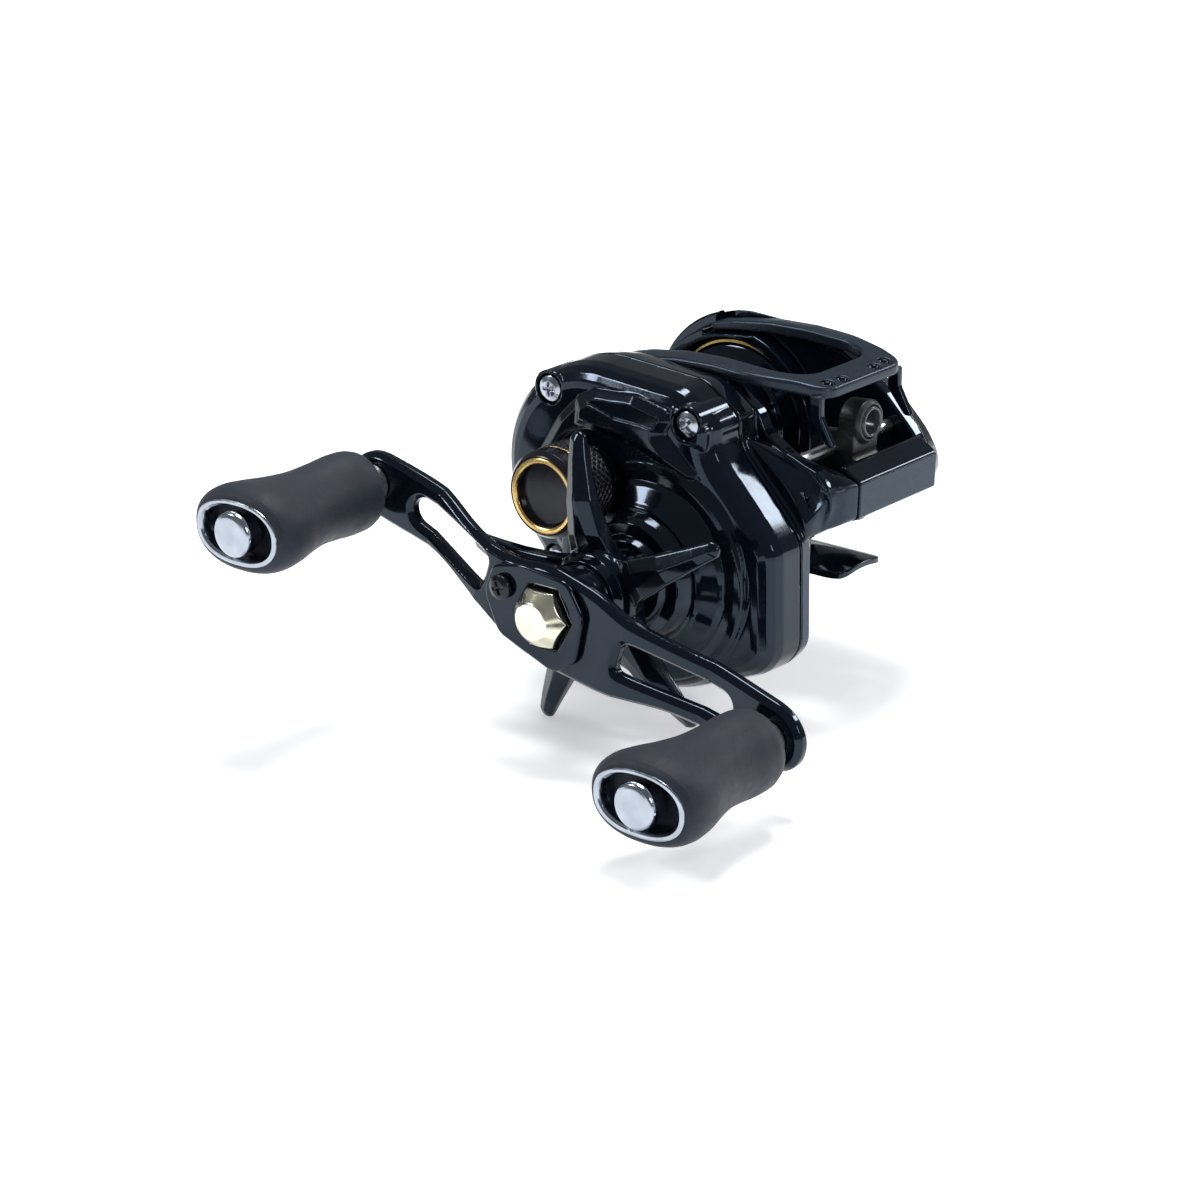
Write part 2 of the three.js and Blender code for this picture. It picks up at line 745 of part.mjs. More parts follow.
const DRIVE_MODULE = distance(DRIVE, SPOOL) / ((DRIVE_TEETH + PINION_TEETH) / 2);
const LAY_MODULE =
  distance(DRIVE, WORM) / ((LAYSHAFT_TEETH + 2 * IDLER_TEETH + WORM_TEETH) / 2);
const TO_SPOOL = angleTo(DRIVE, SPOOL);
const TO_WORM = angleTo(DRIVE, WORM);
const IDLER_REACH = (LAY_MODULE * (LAYSHAFT_TEETH + IDLER_TEETH)) / 2;
const IDLER = {
  y: DRIVE.y + IDLER_REACH * Math.cos(TO_WORM),
  z: DRIVE.z + IDLER_REACH * Math.sin(TO_WORM),
};
const idlerAssembly = assembly("idler assembly", IDLER);

// A gap of the second gear faces a tooth of the first along the line of centres.
const gapTowards = (angle, teeth) => angle + Math.PI + Math.PI / teeth;

function makeDriveGear() {
  const teeth = prism(gearOutline(DRIVE_TEETH, DRIVE_MODULE, TO_SPOOL), 20.8, 26.2);
  return cut(teeth, disc(23, 27, 14.3, {}, 28), disc(20, 27, 3.15, {}, 20));
}

function makePinion() {
  const phase = gapTowards(TO_SPOOL, PINION_TEETH);
  const teeth = prism(gearOutline(PINION_TEETH, DRIVE_MODULE, phase), 19.6, 26.2);
  const neck = turned(
    [[26, 0], [26, 1.9], [28, 1.9], [28, 2.8], [28.9, 2.8], [28.9, 0]],
    {},
    20,
  );
  return cut(
    join(teeth, neck),
    disc(19, 31, 1.1, {}, 16),
    box([19, PIN_X + 0.55], [-0.55, 0.55], [-4, 4]),
  );
}

const LAY_GEARS = [17, 18.6];

function makeLayshaftGear() {
  const teeth = prism(gearOutline(LAYSHAFT_TEETH, LAY_MODULE, TO_WORM), ...LAY_GEARS);
  return cut(teeth, disc(16, 20, 3.15, {}, 24));
}

function makeIdlerGear() {
  const phase = gapTowards(TO_WORM, IDLER_TEETH);
  const teeth = prism(gearOutline(IDLER_TEETH, LAY_MODULE, phase), ...LAY_GEARS);
  return cut(teeth, disc(16, 20, 1.58, {}, 16));
}

// The idler's tooth opposite its gap at the drive side sets the worm gear's phase.
function makeWormGear() {
  const idlerPhase = gapTowards(TO_WORM, IDLER_TEETH);
  const pitch = (2 * Math.PI) / IDLER_TEETH;
  const nearest = idlerPhase + pitch * Math.round((TO_WORM - idlerPhase) / pitch);
  const offset = nearest - TO_WORM;
  const phase = gapTowards(TO_WORM, WORM_TEETH) - (offset * IDLER_TEETH) / WORM_TEETH;
  const teeth = prism(gearOutline(WORM_TEETH, LAY_MODULE, phase), ...LAY_GEARS);
  return cut(teeth, disc(16, 20, 1.3, {}, 16));
}

function makeRatchet() {
  const pawlTeeth = 10;
  const outline = Array.from({ length: pawlTeeth }, (_, i) => (i / pawlTeeth) * 2 * Math.PI).flatMap(
    (angle) => [
      [7.4 * Math.cos(angle), 7.4 * Math.sin(angle)],
      [5.8 * Math.cos(angle + 0.06), 5.8 * Math.sin(angle + 0.06)],
    ],
  );
  return cut(prism(outline, 19.3, 20.3), disc(19, 21, 3.15, {}, 24));
}

// ---------------------------------------------------------------- drive shaft and drag

function makeDriveShaft() {
  return turned([
    [13.9, 0],
    [13.9, 2.7],
    [14.2, 3],
    [60.6, 3],
    [60.6, 2.6],
    [62.8, 2.6],
    [62.8, 0],
  ], {}, 24);
}

const bored = (x0, x1, outer, bore = 3.15, segments = 24) => ring(x0, x1, bore, outer, {}, segments);

function makeKeyWasher() {
  const ears = [0, 1].map((i) => {
    const side = i === 0 ? 1 : -1;
    return box([24.3, 24.9], side > 0 ? [11, 13.9] : [-13.9, -11], [-1.8, 1.8]);
  });
  return join(bored(24.3, 24.9, 12.6), ...ears);
}

// Two cupped washers, edge to edge.
function makeSpringWashers() {
  return turned([
    [39.9, 3.15],
    [40.6, 5.2],
    [41.3, 3.15],
    [41.7, 3.15],
    [41.2, 5.6],
    [40, 5.6],
    [39.5, 3.15],
    [39.9, 3.15],
  ], {}, 20);
}

// ---------------------------------------------------------------- star drag

function hexagon(radius, phase = 0) {
  return Array.from({ length: 6 }, (_, i) => {
    const angle = phase + (i * Math.PI) / 3;
    return [radius * Math.cos(angle), radius * Math.sin(angle)];
  });
}

function starPlan() {
  const shape = new THREE.Shape();
  const step = (2 * Math.PI) / STAR_ARMS;
  const polar = (r, angle) => new THREE.Vector2(r * Math.cos(angle), r * Math.sin(angle));
  const tipHalf = 1.5 / STAR_REACH;
  for (let i = 0; i < STAR_ARMS; i++) {
    const angle = STAR_ANGLE + i * step;
    const tipIn = polar(STAR_REACH - 0.9, angle - tipHalf);
    const tipOut = polar(STAR_REACH - 0.9, angle + tipHalf);
    const tip = polar(STAR_REACH + 0.9, angle);
    const valley = polar(7.6, angle + step / 2);
    const leave = polar(14.5, angle + 0.21);
    const arrive = polar(14.5, angle + step - 0.21);
    const nextTip = polar(STAR_REACH - 0.9, angle + step - tipHalf);
    if (i === 0) shape.moveTo(tipIn.x, tipIn.y);
    shape.quadraticCurveTo(tip.x, tip.y, tipOut.x, tipOut.y);
    shape.bezierCurveTo(leave.x, leave.y, leave.x, leave.y, valley.x, valley.y);
    shape.bezierCurveTo(arrive.x, arrive.y, arrive.x, arrive.y, nextTip.x, nextTip.y);
  }
  return shape;
}

// The arms bow outwards, over the tension knob, and dip again at their tips.
function makeStarDrag() {
  const plan = prism(starPlan(), 40, 54, TO_X, 0, 4);
  const bow = turned([
    [43.4, 0],
    [43.4, 8],
    [44.9, 10.4],
    [45.6, 17],
    [45.4, 23],
    [44.8, 30],
    [46.6, 30],
    [48.1, 24],
    [49.2, 17],
    [48.9, 11],
    [47.6, 7],
    [47.6, 0],
  ], {}, 20);
  const hub = turned([
    [43.4, 0],
    [43.4, 7.6],
    [46.4, 8.4],
    [47.8, 8.2],
    [48.4, 7.2],
    [50.6, 6.9],
    [50.6, 6],
    [52.4, 5.8],
    [52.8, 6.6],
    [55.6, 6.4],
    [56.2, 5.6],
    [56.2, 0],
  ], {}, 24);
  return cut(
    join(plan.intersect(bow), hub),
    disc(43, 46.8, 5.3, {}, 24),
    disc(46, 57, 3.15, {}, 24),
  );
}

// ---------------------------------------------------------------- handle

// Plan of the blade, drawn in (along the arm, across it).
function makeBlade() {
  const end = HANDLE_REACH;
  const upper = [[-end - 5.6, 2.4], [-end - 2, 5.4], [-38, 6], [-30, 6.2], [-21, 4.9], [-10, 5.4],
                 [-3, 8.3], [8, 8.6], [16, 7], [26, 6.4], [38, 6.2], [end + 1.6, 6.2],
                 [end + 6, 2.6]];
  const lower = [[end + 6, -3], [end + 1, -6.4], [38, -6], [25, -6], [14, -8.2], [3, -9.6],
                 [-6, -9.8], [-15, -6.6], [-26, -5.2], [-38, -6], [-end - 1, -6.2],
                 [-end - 5.6, -3]];
  const plan = roundedLoop([...upper, ...lower], 3.2, 60).map((p) => [p.x, p.y]);
  const slots = [-1, 1].map((sign) => {
    const corners = [[15, 2.9], [17.6, 3.1], [35, 2.5], [36.6, 0], [35, -2.5], [17.6, -3.1],
                     [15, -2.9]];
    const loop = roundedLoop(corners.map(([a, b]) => [sign * a, b]), 1.6, 24);
    return prism(loop.map((p) => [p.x, p.y]), 40, 64);
  });
  const face = BLADE_FACE;
  const bend = [14, 33];
  const top = [[-end - 8, face - BLADE_DROP], [-bend[1], face - BLADE_DROP], [-bend[0], face],
               [bend[0], face], [bend[1], face - BLADE_DROP], [end + 8, face - BLADE_DROP]];
  const under = [...top].reverse().map(([a, x]) => [a, x - BLADE_THICK]);
  const side = prism([...top, ...under], -12, 12, PROFILE_TO_BLADE);
  const holes = [
    disc(40, 64, 3.3, {}, 20),
    disc(BLADE_FACE - 1.9, 64, 1.3, RETAINER_SCREW, 12),
    ...[-1, 1].map((sign) => disc(40, 64, 1.95, { y: sign * end }, 16)),
  ];
  return cut(prism(plan, 40, 64, TO_X).intersect(side), ...slots, ...holes);
}

// Drawn in (along the arm, X) and raised across the arm.
const PROFILE_TO_BLADE = new THREE.Matrix4().makeBasis(
  new THREE.Vector3(0, 1, 0),
  new THREE.Vector3(1, 0, 0),
  new THREE.Vector3(0, 0, -1),
);

function makeHandleNut() {
  const hex = prism(hexagon(5.6, 0.3), BLADE_FACE + 0.3, BLADE_FACE + 4.6);
  const cone = turned([
    [BLADE_FACE, 0],
    [BLADE_FACE, 6],
    [BLADE_FACE + 1.7, 6],
    [BLADE_FACE + 4.6, 3.2],
    [BLADE_FACE + 4.6, 0],
  ], {}, 18);
  const thread = disc(BLADE_FACE, BLADE_FACE + 3.2, 2.7, {}, 16);
  const collar = disc(BLADE_FACE, BLADE_FACE + 0.9, 3.3, {}, 16);
  return cut(hex.intersect(cone), thread, collar);
}

function makeNutRetainer() {
  const plate = roundedLoop(
    [[-12.6, 3.4], [-13, -2], [-8, -7.8], [5, -8.6], [8.6, -4.4], [7.8, 4.2], [2.9, 8.4], [-7, 6.6]],
    1.6,
    32,
  );
  return cut(
    prism(plate.map((p) => [p.x, p.y]), BLADE_FACE + 0.3, BLADE_FACE + 1.3),
    prism(hexagon(6.1, 0.3), 50, 70),
    disc(50, 70, 1.3, RETAINER_SCREW, 12),
  );
}

function makeKnobPost() {
  const seat = BLADE_FACE - BLADE_DROP;
  return turned([
    [seat - BLADE_THICK - 0.6, 0],
    [seat - BLADE_THICK - 0.6, 2.9],
    [seat - BLADE_THICK - 0.3, 2.9],
    [seat - BLADE_THICK - 0.3, 1.9],
    [seat + 0.3, 1.9],
    [seat + 0.3, 3.4],
    [KNOB_BASE - 0.3, 3.2],
    [KNOB_BASE - 0.3, 1.8],
    [KNOB_BASE + 26.4, 1.8],
    [KNOB_BASE + 26.4, 0],
  ], {}, 16);
}

// Sections of the knob: distance from its base, half width along Y, half height along Z, squareness.
const KNOB_SECTIONS = [
  [0, 6.1, 6.1, 2],
  [0.9, 6.9, 6.9, 2],
  [4, 7.3, 7.3, 2],
  [9, 7.3, 7, 2],
  [14, 7.9, 6.6, 2.1],
  [19, 9.2, 6.8, 2.2],
  [24, 10.6, 7.3, 2.3],
  [27, 10.9, 7.5, 2.3],
  [29, 10.5, 7.1, 2.3],
  [30, 9.7, 6.4, 2.3],
];

function ovalLoop(x, halfY, halfZ, power, count = 20) {
  return Array.from({ length: count }, (_, i) => {
    const angle = (i / count) * 2 * Math.PI;
    const [c, s] = [Math.cos(angle), Math.sin(angle)];
    const bend = (value, half) => half * Math.sign(value) * Math.abs(value) ** (2 / power);
    return new THREE.Vector3(x, bend(c, halfY), bend(s, halfZ));
  });
}

const KNOB_RECESS = { halfY: 8.3, halfZ: 5 };

function makeKnob() {
  const grip = loft(
    KNOB_SECTIONS.map(([x, halfY, halfZ, power]) => ovalLoop(KNOB_BASE + x, halfY, halfZ, power)),
  );
  const { halfY, halfZ } = KNOB_RECESS;
  const end = KNOB_BASE + KNOB_LENGTH;
  const recess = loft([end - 3.6, end + 1].map((x) => ovalLoop(x, halfY, halfZ, 2.3)));
  const bore = disc(KNOB_BASE - 1, end, 2.1, {}, 20);
  return cut(grip, recess, bore);
}

// Bright oval band around the knob's end.
function makeKnobRing() {
  const { halfY, halfZ } = KNOB_RECESS;
  const end = KNOB_BASE + KNOB_LENGTH;
  const outer = loft([
    ovalLoop(end, halfY + 0.8, halfZ + 0.7, 2.3),
    ovalLoop(end + 0.4, halfY + 0.5, halfZ + 0.4, 2.3),
  ]);
  const skirt = loft([end - 2.4, end + 0.2].map((x) => ovalLoop(x, halfY - 0.3, halfZ - 0.3, 2.3)));
  const hole = loft([end - 4, end + 2].map((x) => ovalLoop(x, halfY - 0.8, halfZ - 0.5, 2.3)));
  return cut(join(outer, skirt), hole);
}

// Round button that closes the knob's bearing.
function makeKnobCap() {
  const end = KNOB_BASE + KNOB_LENGTH;
  return turned([
    [end - 2.6, 0],
    [end - 2.6, 3.4],
    [end + 0.2, 4],
    [end + 0.8, 4.1],
    [end + 1.9, 3.7],
    [end + 1.9, 0],
  ], {}, 24);
}

// ---------------------------------------------------------------- tension knob

const TENSION = { from: 33.4, band: 39.8, end: 44.2, r: 8 };

function makeTensionKnob() {
  const ribs = 20;
  const ribbed = Array.from({ length: ribs * 2 }, (_, i) => {
    const angle = (i / (ribs * 2)) * 2 * Math.PI;
    const r = i % 2 === 0 ? TENSION.r : TENSION.r - 0.35;
    return [r * Math.cos(angle), r * Math.sin(angle)];
  });
  const grip = prism(ribbed, TENSION.from + 1.2, TENSION.band);
  const band = turned([
    [TENSION.from, 0],
    [TENSION.from, 7.4],
    [TENSION.from + 1.3, 7.6],
    [TENSION.band - 0.1, 7.6],
    [TENSION.band, 7.9],
    [TENSION.end - 1, 7.8],
    [TENSION.end, 7],
    [TENSION.end, 6.9],
    [TENSION.end - 0.7, 6.9],
    [TENSION.end - 0.7, 5.7],
    [TENSION.end - 1.6, 5.3],
    [TENSION.end - 1.6, 0],
  ], {}, 26);
  const room = turned([
    [TENSION.from - 1, 0],
    [TENSION.from - 1, 5.62],
    [39.4, 5.62],
    [39.4, 3.6],
    [40.6, 3.6],
    [40.6, 0],
  ], {}, 24);
  return cut(join(grip, band), room);
}

// ---------------------------------------------------------------- clutch

// Fork that holds the pinion's groove, lying across the line of centres.
function makeYoke() {
  const across = TO_SPOOL + Math.PI / 2;
  const place = new THREE.Matrix4().makeRotationX(across);
  const bar = new THREE.BoxGeometry(1, 21, 5.6).translate(27.1, 0, 0).applyMatrix4(place);
  const slot = new THREE.BoxGeometry(3, 4.6, 12).translate(27.1, 0, -3.9).applyMatrix4(place);
  const made = cut(solid(bar), solid(slot));
  const pins = [-8.6, 8.6].map((reach) => {
    const [y, z] = [reach * Math.cos(across), reach * Math.sin(across)];
    return disc(25, 31, 1, { y, z }, 10);
  });
  return cut(made, ...pins);
}

function makeThumbBar() {
  const pad = prism(
    [[-31.8, 23.4], [-30.2, 25.2], [-26.6, 25.6], [-25.4, 24.8], [-25.6, 22.6], [-26, 18.4],
     [-29.4, 18], [-31.2, 20.4]],
    -12.9,
    12.9,
    TO_X,
    0.7,
  );
  const tongueGear = box([12, WALL_OUT + 0.3], [-27.4, -25.6], [19.4, 23.6]);
  const tonguePalm = box([-WALL_OUT + 0.2, -12], [-27.4, -25.6], [19.4, 23.6]);
  return join(pad, tongueGear, tonguePalm);
}

function makeClutchPlate() {
  return prism(
    [[-27.2, 19.8], [-27.2, 21], [-24.6, 21], [-14.6, 13.8], [-9.2, 9.6], [-8, 7.6], [-11, 7.6],
     [-17, 11.4], [-22.8, 17.2]],
    WALL_OUT + 0.6,
    WALL_OUT + 1.6,
  );
}

// ---------------------------------------------------------------- line guide

function makeWormShaft() {
  const groove = [];
  for (let x = -11; x < 11; x += 3.1) groove.push([x, 2], [x + 1.4, 2], [x + 1.8, 1.6], [x + 2.7, 1.6]);
  return turned([
    [-15.6, 0],
    [-15.6, 1.2],
    [-12.2, 1.2],
    [-12.2, 2],
    ...groove,
    [12.2, 2],
    [12.2, 1.2],
    [18.8, 1.2],
    [18.8, 0],
  ], {}, 12);
}

function wormBushing(x0, x1) {
  return turned([
    [x0, 1.28],
    [x0, 2.8],
    [x1, 2.8],
    [x1, 1.28],
    [x0, 1.28],
  ], {}, 20);
}

const CARRIAGE_HALF = 3.7;

function makeLineGuide() {
  const block = prism(
    [[24.4, 13.6], [30.6, 13.6], [31.2, 15], [31.2, 20.4], [29.6, 22.2], [29.8, 25.4], [27, 27],
     [22.8, 26.4], [22.6, 21]],
    -CARRIAGE_HALF,
    CARRIAGE_HALF,
    TO_X,
    0.6,
  );
  const tower = turned(
    [[26.4, 0], [26.4, 3.6], [30.2, 3.9], [31, 3.4], [31, 0]],
    { x: 0, z: EYELET.z },
    20,
    LATHE_TO_Y,
  );
  const neck = prism([[3.4, 23], [-3.4, 23], [-3.6, EYELET.z], [3.6, EYELET.z]].reverse(),
    26.6, 29.6, SECTION_TO_Y);
  const eye = turned(
    [[20, 0], [20, 3.4], [27, 3.05], [33, 3.05], [33, 0]],
    { x: 0, z: EYELET.z },
    20,
    LATHE_TO_Y,
  );
  const wormRoom = disc(-6, 6, 2.2, WORM, 20);
  const rodRoom = disc(-6, 6, GUIDE_ROD.r + 0.12, GUIDE_ROD, 16);
  const pawlRoom = turned(
    [[10, 0], [10, 1.7], [WORM.z, 1.7], [WORM.z, 0]],
    { y: WORM.y },
    16,
    LATHE_TO_Z,
  );
  return cut(join(block, neck, tower), eye, wormRoom, rodRoom, pawlRoom);
}

const LATHE_TO_Y = new THREE.Matrix4();

function makeGuideInsert() {
  return turned([
    [28.2, 2],
    [27.7, 2.4],
    [27.7, 2.9],
    [30.8, 2.9],
    [31.3, 2.6],
    [31.2, 2.2],
    [30.4, 1.95],
    [28.2, 2],
  ], { x: 0, z: EYELET.z }, 20, LATHE_TO_Y);
}

function makePawl() {
  const stem = turned([[-4.2, 0], [-4.2, 1.4], [-2.5, 1.4], [-2.5, 0]], {}, 12, LATHE_TO_Z);
  return stem;
}

function makePawlCap() {
  return turned(
    [[-6.6, 0], [-6.6, 1.9], [-6, 2.5], [-4.5, 2.5], [-4.5, 0]],
    {},
    20,
    LATHE_TO_Z,
  );
}

// ---------------------------------------------------------------- putting it together

add(bodyAssembly, "frame", makeFrame(), glossBlack);
add(bodyAssembly, "reel_foot", makeFoot(), glossBlack);
footScrewPlaces.forEach((y, i) =>
  add(bodyAssembly, ["foot_screw_rear", "foot_screw_front"][i], makeFootScrew(y), steel),
);
add(bodyAssembly, "gear_side_plate", makeGearSidePlate(), glossBlack);
for (const { name, y, z, head } of PLATE_SCREWS) {
  const place = assembly("", { y, z }, bodyAssembly);
  add(place, "side_plate_screw_" + name, makeScrew(head, 8, 2.35), glossBlack);
}
add(bodyAssembly, "palm_side_plate", makePalmSidePlate(), glossBlack);
add(bodyAssembly, "hood", makeHood(), satinGraphite);
add(bodyAssembly, "front_panel", makeFrontPanel(), satinGraphite);
const rodAssembly = assembly("rod assembly", GUIDE_ROD);
add(rodAssembly, "guide_rod", disc(-14.4, WALL_OUT - 0.6, GUIDE_ROD.r, {}, 12), steel);
add(bodyAssembly, "thumb_bar", makeThumbBar(), satinGraphite);
add(bodyAssembly, "clutch_plate", makeClutchPlate(), steel);

add(spoolAssembly, "spool", makeSpool(), glossBlack);
add(spoolAssembly, "spool_shaft", makeSpoolShaft(), steel);
add(spoolAssembly, "brake_inductor", makeInductor(), steel);
add(spoolAssembly, "spool_bearing_palm", ring(-15.9, -13.7, 1.08, 4, {}, 24), steel);
add(spoolAssembly, "spool_bearing_gear", ring(14, 16.2, 1.08, 4, {}, 24), steel);
add(spoolAssembly, "magnet_holder", ring(-16.9, -13.2, 5.2, 7.3, {}, 24), blackPlastic);
add(spoolAssembly, "brake_dial", makeBrakeDial(), blackPlastic);
add(spoolAssembly, "pinion_gear", makePinion(), brass);
add(spoolAssembly, "clutch_yoke", makeYoke(), blackPlastic);
add(spoolAssembly, "tension_knob", makeTensionKnob(), glossBlack);
add(
  spoolAssembly,
  "tension_knob_ring",
  ring(TENSION.end - 0.6, TENSION.end + 0.1, 5.8, 6.8, {}, 24),
  gold,
);

add(driveAssembly, "drive_shaft", makeDriveShaft(), steel);
add(driveAssembly, "drive_shaft_bearing_inner", bored(14, 16.2, 5, 3.08, 24), steel);
add(driveAssembly, "drive_shaft_bearing_outer", bored(36.2, 38.4, 5.5, 3.08, 24), steel);
add(driveAssembly, "one_way_bearing", bored(29.2, 35.6, 8.05, 3.08, 28), steel);
add(driveAssembly, "layshaft_gear", makeLayshaftGear(), brass);
add(driveAssembly, "ratchet_wheel", makeRatchet(), steel);
add(driveAssembly, "drive_gear", makeDriveGear(), brass);
add(driveAssembly, "drag_washer_inner", bored(23.3, 24, 13.9), carbon);
add(driveAssembly, "key_washer", makeKeyWasher(), steel);
add(driveAssembly, "drag_washer_outer", bored(25.2, 25.9, 13.9), carbon);
add(driveAssembly, "pressure_plate", bored(26.5, 27.7, 12.4), steel);
add(driveAssembly, "spring_washers", makeSpringWashers(), steel);
add(
  driveAssembly,
  "star_nut",
  cut(prism(hexagon(4.9), 43.7, 46.5), disc(40, 50, 3.08, {}, 20)),
  brass,
);
add(driveAssembly, "star_drag", makeStarDrag(), glossBlack);

const handle = assembly("handle", {}, driveAssembly);
handle.rotation.x = HANDLE_PITCH;
add(handle, "handle_blade", makeBlade(), glossBlack);
add(handle, "handle_nut", makeHandleNut(), paleGold);
add(handle, "nut_retainer", makeNutRetainer(), glossBlack);
const retainerScrew = assembly("", RETAINER_SCREW, handle);
add(retainerScrew, "retainer_screw", makeScrew(BLADE_FACE + 2.9, 4.2, 2.2), glossBlack);
for (const [side, sign] of [["rear", -1], ["front", 1]]) {
  const knob = assembly("", { y: sign * HANDLE_REACH }, handle);
  add(knob, "knob_post_" + side, makeKnobPost(), steel);
  knob.rotation.x = -HANDLE_PITCH;
  add(knob, "handle_knob_" + side, makeKnob(), softGrip);
  add(knob, "knob_ring_" + side, makeKnobRing(), chrome);
  add(knob, "knob_cap_" + side, makeKnobCap(), chrome);
}

add(idlerAssembly, "idler_gear", makeIdlerGear(), blackPlastic);
add(wormAssembly, "worm_shaft", makeWormShaft(), steel);
add(wormAssembly, "worm_gear", makeWormGear(), blackPlastic);
add(wormAssembly, "worm_bushing_gear", wormBushing(13.7, 16.2), blackPlastic);
add(wormAssembly, "worm_bushing_palm", wormBushing(-16.2, -13.7), blackPlastic);
add(bodyAssembly, "line_guide", makeLineGuide(), blackPlastic);
add(bodyAssembly, "guide_insert", makeGuideInsert(), ceramic);
add(wormAssembly, "guide_pawl", makePawl(), brass);
add(wormAssembly, "pawl_cap", makePawlCap(), blackPlastic);

export default reel;
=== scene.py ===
"""Low-profile baitcasting reel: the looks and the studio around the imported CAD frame.

Shapes are written in millimetres in the frame's own axes (+X to the handle, +Y forward, +Z up).
Cast and moulded pieces are signed distance fields, which round their edges as a real casting does;
turned pieces are lathed profiles with filleted corners.
"""

import math

import bpy
import numpy as np
from mathutils import Matrix, Vector


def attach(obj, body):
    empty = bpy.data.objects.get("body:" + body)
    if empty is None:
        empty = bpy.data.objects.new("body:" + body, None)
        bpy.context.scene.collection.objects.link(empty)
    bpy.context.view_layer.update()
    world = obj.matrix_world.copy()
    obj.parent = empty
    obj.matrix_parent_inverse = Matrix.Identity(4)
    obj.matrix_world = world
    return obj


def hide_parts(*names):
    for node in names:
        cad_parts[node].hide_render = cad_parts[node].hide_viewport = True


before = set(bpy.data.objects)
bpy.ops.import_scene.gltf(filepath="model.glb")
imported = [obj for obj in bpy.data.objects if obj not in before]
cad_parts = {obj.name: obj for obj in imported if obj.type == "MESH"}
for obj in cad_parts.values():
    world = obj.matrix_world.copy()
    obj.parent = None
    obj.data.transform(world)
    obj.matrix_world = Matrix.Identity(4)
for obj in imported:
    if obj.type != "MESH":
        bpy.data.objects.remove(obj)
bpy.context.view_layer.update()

MM = 0.001
COARSE = 1.0

# -------- driving dimensions, as in the CAD

SPOOL = (-7.0, 18.0)
DRIVE = (7.0, 4.0)
WORM = (27.5, 16.5)
GUIDE_ROD = (25.2, 23.2)
EYELET_Z = 28.1
BODY_R = 20.3
CASE_R = 22.4
IDLER = (19.202, 11.44)
WALL_MIDDLE, WALL_HALF = 15.0, 1.4  # the frame's side walls, along X
FOOT_SCREWS = (-17, 13)
SPOOL_R = 15.3
SPOOL_HALF = 12.6
PALM_FACE = -26.6
DIAL_R = 8.6
HANDLE_REACH = 45.0
HANDLE_PITCH = math.radians(-17.2)
BLADE_FACE = 60.0
BLADE_DROP = 5.0
BLADE_THICK = 2.6
KNOB_BASE = 59.4
KNOB_END = 89.7
KNOB_RECESS = (8.3, 5.0)  # half width and half height of the hollow in a knob's end
RETAINER_SCREW = (-9.3, 0.9)
STAR_ANGLE = math.radians(100.3)
STAR_REACH = 28.4
STAR_ARMS = 5
TENSION_FROM, TENSION_BAND, TENSION_END, TENSION_R = 33.4, 39.8, 44.2, 8.0

# -------- outlines


def arc(centre, r, start, end, steps=48):
    """Points on an arc, in degrees from the first axis towards the second."""
    a = np.radians(np.linspace(start, end, steps + 1))
    return [(centre[0] + r * math.cos(t), centre[1] + r * math.sin(t)) for t in a]


def rounded(corners, radius, steps=6):
    """A closed outline whose corners are softened with quadratic curves."""
    at = np.array(corners, float)
    out = []
    for i, corner in enumerate(at):
        before, after = at[i - 1], at[(i + 1) % len(at)]
        back, ahead = np.linalg.norm(before - corner), np.linalg.norm(after - corner)
        enter = corner + (before - corner) * min(radius / back, 0.48)
        leave = corner + (after - corner) * min(radius / ahead, 0.48)
        for t in np.linspace(0, 1, steps + 1):
            out.append((1 - t) ** 2 * enter + 2 * t * (1 - t) * corner + t * t * leave)
    return np.array(out)


def line_distance(u, v, loop):
    """Signed distance of points to a closed outline, below zero inside."""
    best = np.full(np.broadcast(u, v).shape, np.inf)
    inside = np.zeros(best.shape, bool)
    for (au, av), (bu, bv) in zip(loop, np.roll(loop, -1, 0)):
        du, dv = bu - au, bv - av
        length = du * du + dv * dv
        if length < 1e-12:
            continue
        t = np.clip(((u - au) * du + (v - av) * dv) / length, 0, 1)
        best = np.minimum(best, (u - au - t * du) ** 2 + (v - av - t * dv) ** 2)
        if av != bv:
            inside ^= ((v < av) != (v < bv)) & (u < du * (v - av) / dv + au)
    return np.where(inside, -1, 1) * np.sqrt(best)


class Outline:
    """Signed distance to a closed outline, kept on a fine grid and read back by interpolation."""

    def __init__(self, loop, cell=0.2, pad=8.0):
        loop = np.array(loop, float)
        self.low = loop.min(0) - pad
        self.cell = cell
        self.count = np.ceil((loop.max(0) + pad - self.low) / cell).astype(int) + 1
        u = self.low[0] + cell * np.arange(self.count[0])
        v = self.low[1] + cell * np.arange(self.count[1])
        self.values = line_distance(u[:, None], v[None, :], loop)

    def __call__(self, u, v):
        s = (u - self.low[0]) / self.cell
        t = (v - self.low[1]) / self.cell
        sc = np.clip(s, 0, self.count[0] - 1.001)
        tc = np.clip(t, 0, self.count[1] - 1.001)
        i, j = sc.astype(np.int32), tc.astype(np.int32)
        a, b = sc - i, tc - j
        w = self.values
        low = w[i, j] * (1 - b) + w[i, j + 1] * b
        high = w[i + 1, j] * (1 - b) + w[i + 1, j + 1] * b
        beyond = self.cell * np.hypot(s - sc, t - tc)
        return low * (1 - a) + high * a + beyond


def soft_outline(corners, radius, cell=0.2):
    """Field of an outline with softened corners."""
    return Outline(rounded(corners, radius), cell)


DEEP = -60.0  # far inside an outline, for profiles read against distance


def lathe_field(profile, cell=0.15):
    """A turned body's field from [along, radius] points; it is read with (along, distance to the axis)."""
    along = [p[0] for p in profile]
    return Outline([(along[0], -4)] + list(profile) + [(along[-1], -4)], cell, 6)


